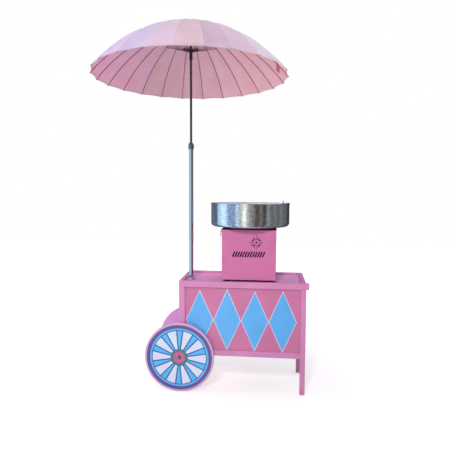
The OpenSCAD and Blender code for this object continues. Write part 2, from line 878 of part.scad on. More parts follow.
// Cut through the housing's front wall, centred on the origin and standing in the wall's plane
module front_cut(w, h) {
    translate([-w / 2, -housing_wall, 0])
        cube([w, 3 * housing_wall, h]);
}

// Sunburst of a middle hole, four long thin rays and eight short wide rays
module sunburst() {
    translate([machine_x + burst_x, machine_y - housing_d / 2, housing_top_z - burst_drop]) {
        rod_y(burst_hole / 2, -housing_wall, 2 * housing_wall);
        for (turn = [0:30:330])
            rotate([0, turn, 0])
                translate([0, 0, ray_in])
                    if (turn % 90 == 0)
                        front_cut(ray_thin, ray_long - ray_in);
                    else
                        front_cut(ray_wide, ray_short - ray_in);
    }
}

module slanted_slots() {
    for (k = [0:slot_count - 1])
        translate([housing_left_x + slot_x + k * slot_pitch, machine_y - housing_d / 2,
                   housing_top_z - slot_drop - slot_h])
            rotate([0, slot_lean, 0])
                front_cut(slot_w, slot_h / cos(slot_lean));
}

// Sheet metal case, open below, with its vents and the holes for the drive and the controls
module housing() {
    drive_clear = 10;
    drive_hole = drive_d + 2 * drive_clear;
    color(machine_pink)
        difference() {
            translate([housing_left_x, machine_y - housing_d / 2, housing_z])
                soft_box([housing_w, housing_d, housing_h], housing_edge);
            translate([housing_left_x + housing_wall, machine_y - housing_d / 2 + housing_wall,
                       housing_z - cut_over])
                soft_box([housing_w - 2 * housing_wall, housing_d - 2 * housing_wall,
                          housing_h - housing_wall + cut_over], housing_edge - housing_wall);
            translate([machine_x, machine_y, housing_top_z - 2 * housing_wall])
                cylinder(d = drive_hole, h = 3 * housing_wall);
            sunburst();
            slanted_slots();
            translate([machine_x - knob_x, machine_y + housing_d / 2, knob_z])
                rod_y(stem_d / 2 + slide_gap, -2 * housing_wall, housing_wall);
            translate([housing_left_x - housing_wall, machine_y - rocker_w / 2 - free_gap,
                       rocker_z - rocker_h / 2 - free_gap])
                cube([3 * housing_wall, rocker_w + 2 * free_gap, rocker_h + 2 * free_gap]);
        }
}

// Bottom of the case, inside its walls
module base_plate() {
    color(steel)
        translate([housing_left_x + housing_wall, machine_y - housing_d / 2 + housing_wall, housing_z])
            soft_box([housing_w - 2 * housing_wall, housing_d - 2 * housing_wall, base_t],
                     housing_edge - housing_wall);
}

// Tapered rubber feet under the base plate
module feet() {
    foot_taper = 0.85;
    rail_room = cart_d / 2 - top_rail_t - machine_back - foot_d / 2 - joint_gap;
    foot_x = housing_w / 2 - foot_inset;
    foot_y = min(housing_d / 2 - foot_inset, rail_room);
    color(black)
        for (x = [-foot_x, foot_x], y = [-foot_y, foot_y])
            translate([machine_x + x, machine_y + y, deck_z])
                cylinder(d1 = foot_d * foot_taper, d2 = foot_d, h = foot_h);
}

module bowl_gasket() {
    outer = housing_w / 2 - gasket_inset;
    color(black)
        translate([machine_x, machine_y, housing_top_z])
            tube(outer, outer - gasket_w, gasket_h);
}

// Spun bowl with a rounded lower edge, a beaded rim, a collared hole and a peg for the net
module bowl() {
    edge_steps = 8;
    r = bowl_d / 2 - bead_d / 2;
    hole = bowl_hole / 2;
    arc = [for (k = [0:edge_steps]) 90 * k / edge_steps];
    inner_edge = bowl_edge - bowl_t;
    bead_z = bowl_h - bead_d / 2;
    color(chrome)
        translate([machine_x, machine_y, bowl_z]) {
            rotate_extrude($fn = large_fn) {
                polygon(concat(
                    [[hole - bowl_t, bowl_lip], [hole - bowl_t, 0]],
                    [for (a = arc) [r - bowl_edge + bowl_edge * sin(a), bowl_edge - bowl_edge * cos(a)]],
                    [[r, bead_z], [r - bowl_t, bead_z]],
                    [for (k = [edge_steps:-1:0])
                        [r - bowl_edge + inner_edge * sin(arc[k]), bowl_edge - inner_edge * cos(arc[k])]],
                    [[hole, bowl_t], [hole, bowl_lip]]));
                translate([r, bead_z])
                    circle(d = bead_d, $fn = small_fn);
            }
            rotate([0, 0, peg_turn])
                translate([r, 0, bead_z])
                    cylinder(d = peg_d, h = bead_d / 2 + peg_h, $fn = small_fn);
        }
}

// Slitted head with a sugar opening above and its drive shaft below
module spinner_head() {
    slit_z = head_h / 2;
    shaft_l = head_z + head_wall - housing_top_z + housing_wall + drive_in;
    color(steel)
        translate([machine_x, machine_y, head_z]) {
            difference() {
                rotate_extrude($fn = large_fn)
                    polygon([[0, 0], [head_d / 2 - head_wall, 0], [head_d / 2, head_wall],
                             [head_d / 2, head_h - 2 * head_wall], [sugar_d / 2 + head_wall, head_h],
                             [sugar_d / 2, head_h], [sugar_d / 2, head_h - head_wall],
                             [head_d / 2 - head_wall, head_h - 3 * head_wall],
                             [head_d / 2 - head_wall, head_wall], [0, head_wall]]);
                for (k = [0:slit_count - 1])
                    rotate([0, 0, 360 * k / slit_count])
                        translate([head_d / 2 - 2 * head_wall, -slit_w / 2, slit_z - slit_h / 2])
                            cube([3 * head_wall, slit_w, slit_h]);
            }
            translate([0, 0, head_wall - shaft_l])
                cylinder(d = drive_d, h = shaft_l);
        }
}

// Motor hung by its flange under the top of the case, bored for the drive shaft
module motor() {
    color(steel)
        translate([machine_x, machine_y, housing_top_z - housing_wall])
            difference() {
                union() {
                    translate([0, 0, -motor_flange_t])
                        cylinder(d = motor_flange_d, h = motor_flange_t);
                    translate([0, 0, -motor_flange_t - motor_l])
                        cylinder(d = motor_d, h = motor_l);
                }
                translate([0, 0, -drive_in - free_gap])
                    cylinder(d = drive_d + 2 * run_gap, h = drive_in + free_gap + cut_over);
            }
}

// Heat knob on the operator's side, with a pointer ridge and its stem
module control_knob() {
    skirt_h = 4;
    grip_share = 0.8;
    top_d = knob_d * grip_share;
    draft = 1;
    ridge_w = 4;
    ridge_h = 2;
    color(black)
        translate([machine_x - knob_x, machine_y + housing_d / 2, knob_z])
            rotate([-90, 0, 0]) {
                rotate_extrude()
                    polygon([[0, free_gap], [knob_d / 2, free_gap], [knob_d / 2, skirt_h],
                             [top_d / 2, skirt_h + free_gap], [top_d / 2 - draft, knob_h - ridge_h],
                             [0, knob_h - ridge_h]]);
                translate([-ridge_w / 2, -top_d / 2 + ridge_h, skirt_h])
                    cube([ridge_w, top_d - 2 * ridge_h, knob_h - skirt_h]);
                translate([0, 0, -4 * housing_wall])
                    cylinder(d = stem_d, h = 4 * housing_wall + skirt_h);
            }
}

// Paddle of the rocker switch, tilted in its window, with the trunnions that it tips on behind the wall
module rocker_switch() {
    proud = 3;
    dish = 1.5;
    edge = 1;
    foot_w = 8;
    trunnion_l = 1.5;
    face_x = housing_left_x - proud - rocker_x;
    color(black)
        translate([rocker_x, machine_y, rocker_z]) {
            intersection() {
                rotate([0, -rocker_tilt, 0])
                    translate([0, rocker_w / 2, 0])
                        rotate([90, 0, 0])
                            linear_extrude(rocker_w)
                                polygon([[face_x - dish, edge - rocker_h / 2], [face_x, 0],
                                         [face_x - dish, rocker_h / 2 - edge], [0, rocker_h / 2 - edge],
                                         [rocker_in, foot_w / 2], [rocker_in, -foot_w / 2],
                                         [0, edge - rocker_h / 2]]);
                rod_y(rocker_h / 2 - free_gap, -rocker_w, rocker_w);
            }
            rod_y(trunnion_r, -rocker_w / 2 - trunnion_l, rocker_w / 2 + trunnion_l);
        }
}

// Plate of the bowl latch with two ears and the lever's pin
module latch_base() {
    ear_r = latch_pin_d / 2 + latch_t;
    color(steel)
        translate([housing_left_x, latch_y, 0]) {
            slab([-latch_t, -latch_w / 2, latch_top_z - latch_h], [0, latch_w / 2, latch_top_z]);
            for (y = [-latch_w / 2, latch_w / 2 - latch_t]) {
                slab([-latch_stand, y, latch_pin_z - ear_r], [0, y + latch_t, latch_pin_z + ear_r]);
                translate([-latch_stand, 0, latch_pin_z])
                    rod_y(ear_r, y, y + latch_t);
            }
            translate([-latch_stand, 0, latch_pin_z])
                rod_y(latch_pin_d / 2, -latch_w / 2, latch_w / 2);
        }
}

// Bent lever of the bowl latch: a knuckle on the pin and an arm that kicks out to a finger tab
module latch_lever() {
    knuckle_r = latch_pin_d / 2 + latch_t;
    lever_w = latch_w - 2 * latch_t - 2 * free_gap;
    arm = latch_h - latch_pin_drop - latch_t;
    bend_share = 0.55;
    bend = arm * bend_share;
    color(steel)
        translate([housing_left_x - latch_stand, latch_y, latch_pin_z])
            difference() {
                union() {
                    rod_y(knuckle_r, -lever_w / 2, lever_w / 2);
                    translate([0, lever_w / 2, 0])
                        rotate([90, 0, 0])
                            linear_extrude(lever_w)
                                polygon([[-knuckle_r, 0], [-knuckle_r, -bend],
                                         [-knuckle_r - 2 * latch_t, latch_t - arm],
                                         [-knuckle_r - latch_t, -arm], [latch_t - knuckle_r, -bend - latch_t],
                                         [latch_t - knuckle_r, 0]]);
                }
                rod_y(latch_pin_d / 2 + run_gap, -latch_w, latch_w);
            }
}

front_left_post();
rear_left_post();
front_right_leg();
rear_right_leg();
front_top_rail();
top_rails();
bottom_rails();
front_panel();
side_panels();
deck();
floor_board();
axle_blocks();
axle();
axle_nuts();
front_wheel();
rear_wheel();
mast_tube();
mast_flanges();
lock_collar();
umbrella_shaft();
crown_notch();
top_cap();
canopy();
runner();
stretchers();
housing();
base_plate();
feet();
bowl_gasket();
bowl();
spinner_head();
motor();
control_knob();
rocker_switch();
latch_base();
latch_lever();
for (k = [0:rib_count - 1])
    rib(k);
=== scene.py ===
"""Dress the cotton candy cart: painted wood, printed wheels, metal, and the parasol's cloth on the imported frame."""

import logging
from dataclasses import dataclass, field
from enum import Enum
from math import asin, atan, atan2, cos, hypot, pi, radians, sin
from typing import Callable, Iterable, Sequence

import bpy
from mathutils import Matrix, Vector


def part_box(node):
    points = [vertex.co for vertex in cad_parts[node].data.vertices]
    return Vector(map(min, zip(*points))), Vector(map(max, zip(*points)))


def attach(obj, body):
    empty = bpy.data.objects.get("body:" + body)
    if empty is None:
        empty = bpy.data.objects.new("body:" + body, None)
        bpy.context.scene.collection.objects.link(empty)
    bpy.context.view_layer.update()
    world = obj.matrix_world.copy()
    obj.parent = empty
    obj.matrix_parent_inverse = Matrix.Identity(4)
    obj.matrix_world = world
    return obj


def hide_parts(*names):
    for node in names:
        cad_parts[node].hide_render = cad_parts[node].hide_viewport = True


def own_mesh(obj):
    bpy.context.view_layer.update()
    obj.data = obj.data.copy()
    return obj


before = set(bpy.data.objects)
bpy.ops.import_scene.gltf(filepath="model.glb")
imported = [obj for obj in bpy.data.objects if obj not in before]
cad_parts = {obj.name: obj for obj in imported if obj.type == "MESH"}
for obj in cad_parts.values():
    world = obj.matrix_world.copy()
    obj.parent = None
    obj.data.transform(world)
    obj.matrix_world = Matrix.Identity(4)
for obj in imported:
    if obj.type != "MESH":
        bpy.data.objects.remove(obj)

log = logging.getLogger("cart")

Pair = tuple[float, float]
Point = tuple[float, float, float]
Colour = tuple[float, float, float, float]
Socket = bpy.types.NodeSocket

MM = 0.001
LIFT = 0.3 * MM  # thickness of a printed film, and the gap that keeps a thin piece off its neighbour
FULL: Pair = (0.0, 1.0)
MOSTLY: Pair = (0.3, 0.7)  # where most of a noise's values lie
EVENLY: Point = (1.0, 1.0, 1.0)
UP: Point = (0.0, 0.0, 1.0)
WHITE: Colour = (1.0, 1.0, 1.0, 1.0)
BLACK: Colour = (0.0, 0.0, 0.0, 1.0)
CLOTH_RUNS = ("across_m", "along_m", "seam_m", "hem_m")  # metres along a cloth's threads, and to its edges


def linear(hex_colour: str, scale: float = 1.0) -> Colour:
    """Turn an sRGB hex value into a linear colour.

    Args:
        hex_colour: Six hex digits after a number sign.
        scale: Factor on the linear value, to lighten or darken it.

    Returns:
        Linear red, green, blue and alpha.
    """
    parts = [int(hex_colour[k:k + 2], 16) / 255 for k in (1, 3, 5)]
    light = [v / 12.92 if v <= 0.04045 else ((v + 0.055) / 1.055) ** 2.4 for v in parts]
    red, green, blue = (min(1.0, v * scale) for v in light)
    return red, green, blue, 1.0


def per_metre(size_mm: float) -> float:
    """Return how often a pattern of that size in millimetres repeats in a metre."""
    return 1000 / size_mm


def around(count: int) -> list[float]:
    """Return evenly spaced turns round a circle, in radians."""
    return [2 * pi * k / count for k in range(count)]


def polar(turn: float, r: float = 1.0, z: float = 0.0) -> Vector:
    """Return the point at a turn about the Z axis, a distance from it and a height."""
    return Vector((r * cos(turn), r * sin(turn), z))


def extent(node: str) -> tuple[Vector, Vector, Vector]:
    """Return a CAD node's lowest and highest corner and its middle."""
    low, high = (Vector(corner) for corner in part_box(node))
    return low, high, (low + high) / 2


def facing(place: Sequence[float], axis: Sequence[float]) -> Matrix:
    """Return a place whose Z axis looks along a direction."""
    turn = Vector(axis).to_track_quat("Z", "Y").to_matrix().to_4x4()
    return Matrix.Translation(Vector(place)) @ turn


@dataclass
class Coat:
    """The nodes of one material while its finish is drawn."""

    tree: bpy.types.NodeTree
    shader: bpy.types.Node

    def add(self, kind: str, values: dict | None = None, out: int | str = 0) -> Socket:
        """Add one node with its settings and links.

        Args:
            kind: Blender's name for the node, without its prefix.
            values: What fill() takes.
            out: Name or number of the output to return.

        Returns:
            Socket of that output.
        """
        node = self.tree.nodes.new(f"ShaderNode{kind}")
        self.fill(node, values or {})
        return node.outputs[out]

    def fill(self, node: bpy.types.Node, values: dict) -> None:
        """Set a node's properties and inputs, and link each input whose value is a socket.

        Args:
            node: Node to fill.
            values: Values by the name of a property, or by the name or number of an input.
        """
        for key, value in values.items():
            if isinstance(value, Socket):
                self.tree.links.new(value, node.inputs[key])
            elif isinstance(key, str) and key in node.bl_rna.properties:
                setattr(node, key, value)
            else:
                node.inputs[key].default_value = value

    def put(self, values: dict) -> None:
        """Set the main shader's inputs to values or sockets."""
        self.fill(self.shader, values)

    def spread(self, value: Socket, span: Pair, to: Pair = FULL) -> Socket:
        """Spread a span of a value over another one and clamp it."""
        ends = {"From Min": span[0], "From Max": span[1], "To Min": to[0], "To Max": to[1]}
        return self.add("MapRange", {"Value": value, **ends})

    def speckle(self, size_mm: float, span: Pair | None = MOSTLY, to: Pair = FULL, detail: float = 2.0,
                stretch: Point = EVENLY) -> Socket:
        """Draw soft random patches of a real size on the piece's own coordinates.

        Args:
            size_mm: Size of a patch in millimetres.
            span: Values of the noise to spread, or none to leave it as it is.
            to: What they are spread over.
            detail: Number of finer layers in the patches.
            stretch: Factor on the pattern's rate along each axis; a small one draws it out.

        Returns:
            Socket with the pattern.
        """
        rate = tuple(per_metre(size_mm) * k for k in stretch)
        place = self.add("Mapping", {"Scale": rate, "Vector": self.add("TexCoord", out="Object")})
        noise = self.add("TexNoise", {"Scale": 1.0, "Detail": detail, "Vector": place})
        return self.spread(noise, span, to) if span else noise

    def tint(self, share: Socket, below: Socket | Colour, above: Colour) -> Socket:
        """Mix two colours by a share, from 0 for all the first to 1 for all the second."""
        return self.add("Mix", {"data_type": "RGBA", 0: share, 6: below, 7: above}, 2)

    def relief(self, height: Socket, depth_mm: float, under: Socket | None = None) -> Socket:
        """Turn a height pattern into relief of a real depth, on a coarser relief's normal if there is one."""
        coarse = {"Normal": under} if under else {}
        return self.add("Bump", {"Strength": 1.0, "Distance": depth_mm * MM, "Height": height, **coarse})

    def corner_shade(self, base: Socket, shade_colour: Colour, reach_mm: float, amount: float) -> Socket:
        """Darken a colour by an amount in corners up to a width in millimetres, as painted shade from ambient
        occlusion.
        """
        sky = self.add("AmbientOcclusion", {"samples": 6, "Distance": reach_mm * MM}, "AO")
        return self.tint(self.spread(sky, (0.35, 0.95), (amount, 0.0)), base, shade_colour)

    def edges(self, reach_mm: float) -> Socket:
        """Find the outer edges, where handling rubs a coat thin.

        Args:
            reach_mm: Width of the worn band in millimetres.

        Returns:
            Socket from 0 on the faces to 1 on the edges.
        """
        rounded = self.add("Bevel", {"samples": 4, "Radius": reach_mm * MM})
        true = self.add("NewGeometry", out="True Normal")
        same = self.add("VectorMath", {"operation": "DOT_PRODUCT", 0: rounded, 1: true}, "Value")
        return self.spread(same, (0.99, 0.8))

    def from_axis(self, axis: Point) -> Socket:
        """Return a socket with the level run from an upright axis to each point, as a vector."""
        centred = self.add("VectorMath", {"operation": "SUBTRACT", 0: self.add("TexCoord", out="Object"), 1: axis})
        return self.add("VectorMath", {"operation": "MULTIPLY", 0: centred, 1: (1.0, 1.0, 0.0)})

    def plainly_seen(self) -> Socket:
        """Return a socket that is 1 for the camera, in reflections and through glass, and 0 for light."""
        seen, *others = (self.add("LightPath", out=f"Is {ray} Ray") for ray in ("Camera", "Glossy", "Transmission"))
        for ray in others:
            seen = self.add("Math", {"operation": "MAXIMUM", 0: seen, 1: ray})
        return seen


class Grain(Enum):
    """Direction of a board's grain, as the pattern's stretch along each axis."""

    ALONG_X = (0.04, 1.0, 1.0)
    ALONG_Z = (1.0, 1.0, 0.04)


class Side(Enum):
    """End of the axle that a wheel sits on, as the sign of its outer face along Y."""

    FRONT = -1
    REAR = 1


@dataclass(frozen=True)
class Finish:
    """A surface as its maker left it: a name, its main colour and its gloss."""

    name: str
    colour: str
    roughness: float

    def material(self) -> bpy.types.Material:
        """Return the finish's material, made on first use."""
        made = bpy.data.materials.get(self.name)
        if made is None:
            made = bpy.data.materials.new(self.name)
            made.use_nodes = True
            made.diffuse_color = self.tone()
            coat = Coat(made.node_tree, made.node_tree.nodes["Principled BSDF"])
            coat.put({"Base Color": self.tone(), "Roughness": self.roughness})
            self.draw(coat)
        return made

    def draw(self, coat: Coat) -> None:
        """Draw the finish's pattern on a material's nodes; each kind of finish has its own."""
        raise NotImplementedError

    def tone(self, scale: float = 1.0) -> Colour:
        """Return the finish's linear colour, lightened or darkened by a factor."""
        return linear(self.colour, scale)

    def tones(self, coat: Coat, share: Socket, darker: float, lighter: float) -> Socket:
        """Vary the finish's colour between two factors by a pattern."""
        return coat.tint(share, self.tone(darker), self.tone(lighter))

    def gloss(self, less: float, more: float) -> Pair:
        """Return a span of roughness about the finish's own."""
        return self.roughness + less, self.roughness + more


@dataclass(frozen=True)
class PaintedWood(Finish):
    """Brushed satin paint on planed softwood: even pink with a faint grain, soft sheen, and painted shade in the
    corners.
    """

    grain: Grain = Grain.ALONG_X
    grain_mm: float = 3.0
    scuff_top: float = 60 * MM
    scuff: str = "#7d6a70"

    def draw(self, coat: Coat) -> None:
        """Draw the brushed paint, its grain, rubbed edges, and scuffs near the ground.

        Args:
            coat: Nodes of the material.
        """
        base = self.tones(coat, coat.speckle(160), 0.94, 1.05)
        grain = coat.speckle(self.grain_mm, None, detail=4.0, stretch=self.grain.value)
        base = coat.tint(coat.spread(grain, (0.52, 0.75), (0.0, 0.28)), base, self.tone(0.78))
        height = coat.add("SeparateXYZ", {"Vector": coat.add("TexCoord", out="Object")}, "Z")
        low = coat.spread(height, (0.0, self.scuff_top), (1.0, 0.0))
        marks = coat.speckle(9, (0.45, 0.62), (0.0, 0.7), 5.0)
        chips = coat.speckle(12, (0.46, 0.62), (0.1, 0.5), 4.0)
        for where, broken, shows in ((low, marks, linear(self.scuff)), (coat.edges(3), chips, self.tone(1.35))):
            base = coat.tint(coat.add("Math", {"operation": "MULTIPLY", 0: where, 1: broken}), base, shows)
        # Painted shade: the paint darkens in corners, from ambient occlusion
        coat.put({"Base Color": coat.corner_shade(base, self.tone(0.35), 22, 0.04),
                  "Roughness": coat.speckle(35, to=self.gloss(-0.06, 0.08)), "Normal": coat.relief(grain, 0.25)})


@dataclass(frozen=True)
class PowderCoat(Finish):
    """Powder coat baked on sheet steel: even colour, fine orange peel and a soft gloss."""

    peel_mm: float = 2.0

    def draw(self, coat: Coat) -> None:
        """Draw the orange peel, drawn twice as coarse as it is so that it shows, and faint handling marks.

        Args:
            coat: Nodes of the material.
        """
        base = self.tones(coat, coat.speckle(120), 0.95, 1.04)
        base = coat.tint(coat.spread(coat.edges(2), FULL, (0.0, 0.3)), base, self.tone(1.3))
        # Painted shade: the coat darkens in corners, from ambient occlusion
        coat.put({"Base Color": coat.corner_shade(base, self.tone(0.35), 18, 0.35),
                  "Roughness": coat.speckle(28, (0.35, 0.7), self.gloss(-0.05, 0.1), 4.0, (1.0, 1.0, 0.35)),
                  "Normal": coat.relief(coat.speckle(2 * self.peel_mm, None), 0.12)})


@dataclass(frozen=True)
class PrintedFilm(Finish):
    """Printed vinyl film under a satin laminate: flat strong colour with a faint fade and rubbed spots."""

    def draw(self, coat: Coat) -> None:
        """Draw the slight fade, fine ink grain and rubbed laminate.

        Args:
            coat: Nodes of the material.
        """
        base = self.tones(coat, coat.speckle(90), 0.96, 1.04)
        coat.put({"Base Color": coat.tint(coat.speckle(1.5, (0.55, 0.75), (0.0, 0.12), 1.0), base, WHITE),
                  "Roughness": coat.speckle(14, (0.4, 0.7), self.gloss(0.0, 0.18), 5.0),
                  "Normal": coat.relief(coat.speckle(45, None), 0.2)})


@dataclass(frozen=True)
class BareMetal(Finish):
    """Drawn, plated or turned metal: its colour only shows in reflections, broken by fine marks of its making."""

    marks_mm: float = 2.0
    stretch: Point = EVENLY
    contrast: float = 0.2
    depth_mm: float = 0.02

    def draw(self, coat: Coat) -> None:
        """Draw the making's marks in tone, gloss and relief.

        Args:
            coat: Nodes of the material.
        """
        marks = coat.speckle(self.marks_mm, None, detail=4.0, stretch=self.stretch)
        coat.put({"Metallic": 1.0,
                  "Base Color": self.tones(coat, coat.spread(marks, (0.35, 0.65)), 1 - self.contrast, 1.0),
                  "Roughness": coat.speckle(30, to=(self.roughness * 0.8, self.roughness * 1.3), detail=4.0),
                  "Normal": coat.relief(marks, self.depth_mm)})


@dataclass(frozen=True)
class SugaredBowl(BareMetal):
    """Spun stainless sheet whose inner wall is dulled white by a film of sugar."""

    axis: Point = (0.0, 0.0, 0.0)
    sugar: str = "#e9edf5"

    def draw(self, coat: Coat) -> None:
        """Draw the bare metal, and the sugar on the wall that looks at the bowl's axis.

        Args:
            coat: Nodes of the material.
        """
        super().draw(coat)
        away = coat.add("VectorMath", {"operation": "NORMALIZE", 0: coat.from_axis(self.axis)})
        normal = coat.add("TexCoord", out="Normal")
        look = coat.add("VectorMath", {"operation": "DOT_PRODUCT", 0: away, 1: normal}, "Value")
        film = coat.spread(look, (-0.2, -0.7), (0.0, 0.85))
        bare = coat.shader.inputs["Base Color"].links[0].from_socket
        coat.put({"Base Color": coat.tint(film, bare, linear(self.sugar)),
                  "Metallic": coat.spread(film, FULL, (1.0, 0.2))})


@dataclass(frozen=True)
class WovenCloth(Finish):
    """Plain woven polyester: a thin matt weave that lets light through, with a soft sheen and stitched hems."""

    thread_mm: float = 3.0
    sheen: float = 0.25
    seam_painted_light: float = 0.7
    through: float = 0.9
    stitch_mm: float = 3.0
    stitch_inset: float = 7 * MM

    def draw(self, coat: Coat) -> None:
        """Draw the weave, six times as coarse as it is so that it shows, painted light along the seams, the stitches
        and puckers.

        Args:
            coat: Nodes of the material.
        """
        across, along, seam, hem = (coat.add("Attribute", {"attribute_name": run}, "Fac") for run in CLOTH_RUNS)
        flat = coat.add("CombineXYZ", {"X": across, "Y": along})
        # A wave texture's scale of 1 is 20 waves in 2 pi
        warp, weft = (coat.add("TexWave", {"bands_direction": way, "Scale": per_metre(self.thread_mm) / 20,
                                           "Distortion": 0.6, "Vector": flat}, "Fac") for way in ("X", "Y"))
        weave = coat.add("Math", {"operation": "MULTIPLY", 0: warp, 1: weft})
        base = self.tones(coat, coat.speckle(110, detail=3.0), 0.95, 1.04)
        base = coat.tint(coat.spread(weave, FULL, (0.06, 0.0)), base, self.tone(0.72))
        # Painted light: the cloth is lighter near each seam, against the darker line that shade leaves there
        base = coat.tint(coat.spread(seam, (2 * MM, 8 * MM), (self.seam_painted_light, 0.0)), base, self.tone(1.3))
        for run, beat in ((hem, across), (seam, along)):
            off = coat.add("Math", {"operation": "SUBTRACT", 0: run, 1: self.stitch_inset})
            away = coat.add("Math", {"operation": "ABSOLUTE", 0: off})
            row = coat.spread(away, (0.5 * MM, 0.9 * MM), (1.0, 0.0))
            step = coat.add("Math", {"operation": "MULTIPLY", 0: beat, 1: per_metre(self.stitch_mm)})
            wave = coat.add("Math", {"operation": "PINGPONG", 0: step, 1: 1.0})
            dash = coat.spread(wave, (0.35, 0.5), (0.0, 0.25))
            base = coat.tint(coat.add("Math", {"operation": "MULTIPLY", 0: row, 1: dash}), base, self.tone(0.55))
        pull = coat.add("Mapping", {"Scale": (per_metre(14), per_metre(120), 1.0), "Vector": flat})
        folds = coat.add("TexNoise", {"Scale": 1.0, "Detail": 3.0, "Vector": pull})
        near = coat.spread(hem, (0.0, 120 * MM), (1.0, 0.25))
        pucker = coat.add("Math", {"operation": "MULTIPLY", 0: folds, 1: near})
        # A seam is several layers thick, so light doesn't come through it
        edge = coat.add("Math", {"operation": "MINIMUM", 0: seam, 1: hem})
        coat.put({"Sheen Weight": self.sheen, "Sheen Roughness": 0.5, "Specular IOR Level": 0.25,
                  "Subsurface Radius": (1.0, 0.57, 0.62), "Subsurface Scale": 5 * MM,
                  "Subsurface Weight": coat.spread(edge, (1 * MM, 9 * MM), (0.0, self.through)), "Base Color": base,
                  "Normal": coat.relief(weave, 0.12, coat.relief(pucker, 2.0))})


@dataclass(frozen=True)
class FibreglassRod(Finish):
    """Pultruded fibreglass rod, dark red and lightly glossy, with a grey moulded bead on its tip."""

    axis: Point = (0.0, 0.0, 0.0)
    bead_from: float = 0.62
    bead: str = "#b79aa6"

    def draw(self, coat: Coat) -> None:
        """Draw the rod's fibres, and the bead past its distance from the mast.

        Args:
            coat: Nodes of the material.
        """
        reach = coat.add("VectorMath", {"operation": "LENGTH", 0: coat.from_axis(self.axis)}, "Value")
        bead = coat.spread(reach, (self.bead_from, self.bead_from + LIFT))
        fibres = coat.speckle(4, (0.35, 0.65), detail=3.0)
        base = self.tones(coat, fibres, 0.75, 1.2)
        coat.put({"IOR": 1.5, "Base Color": coat.tint(bead, base, linear(self.bead)),
                  "Roughness": coat.spread(fibres, FULL, self.gloss(0.0, 0.12))})


@dataclass(frozen=True)
class MouldedPart(Finish):
    """Moulded plastic, rubber or enamel: one deep colour with the mould's fine grain and a dull rub on top."""

    grain_mm: float = 1.2
    ior: float = 1.5

    def draw(self, coat: Coat) -> None:
        """Draw the mould's grain, drawn twice as coarse as it is so that it shows, and rubbed patches.

        Args:
            coat: Nodes of the material.
        """
        rub = coat.speckle(18, (0.35, 0.7), detail=4.0)
        coat.put({"IOR": self.ior, "Base Color": self.tones(coat, rub, 0.85, 1.3),
                  "Roughness": coat.spread(rub, FULL, self.gloss(0.0, 0.15)),
                  "Normal": coat.relief(coat.speckle(2 * self.grain_mm, None), 0.08)})


@dataclass(frozen=True)
class BarePlywood(Finish):
    """Sanded birch plywood without a finish: pale brown veneer with long figured grain."""

    def draw(self, coat: Coat) -> None:
        """Draw the veneer's long grain and its pores.

        Args:
            coat: Nodes of the material.
        """
        grain = Grain.ALONG_X.value
        base = self.tones(coat, coat.speckle(22, detail=5.0, stretch=grain), 0.75, 1.12)
        pores = coat.speckle(1.6, None, stretch=grain)
        base = coat.tint(coat.spread(pores, (0.58, 0.75), (0.0, 0.5)), base, self.tone(0.45))
        # Painted shade: the veneer darkens in corners, from ambient occlusion
        coat.put({"Base Color": coat.corner_shade(base, self.tone(0.35), 40, 0.35), "Normal": coat.relief(pores, 0.15)})


@dataclass(frozen=True)
class PaleFloor(Finish):
    """Matt white studio floor: white where nothing shades it, and fading into the white background far off."""

    glow: float = 0.52
    fade: Pair = (0.9, 2.4)

    def draw(self, coat: Coat) -> None:
        """Lift the floor to white for the camera and in reflections, and keep its shadow near the cart.

        Args:
            coat: Nodes of the material.
        """
        away = coat.add("VectorMath", {"operation": "LENGTH", 0: coat.add("TexCoord", out="Object")}, "Value")
        lift = coat.spread(away, self.fade, (self.glow, 1.0))
        level = coat.add("Math", {"operation": "MULTIPLY", 0: coat.plainly_seen(), 1: lift})
        coat.put({"Emission Color": WHITE, "Specular IOR Level": 0.0, "Emission Strength": level})


@dataclass(frozen=True)
class GlowingCard(Finish):
    """Glowing card that stands out of view: only the metal shows it, as a band of light or dark."""

    level: float = 1.7

    def draw(self, coat: Coat) -> None:
        """Make the card glow in its own colour, with faint clouds, whatever lamp shines on it."""
        coat.put({"Base Color": BLACK, "Specular IOR Level": 0.0, "Emission Strength": self.level,
                  "Emission Color": self.tones(coat, coat.speckle(250), 0.8, 1.15)})


FRAME_PINK = "#d48bbb"


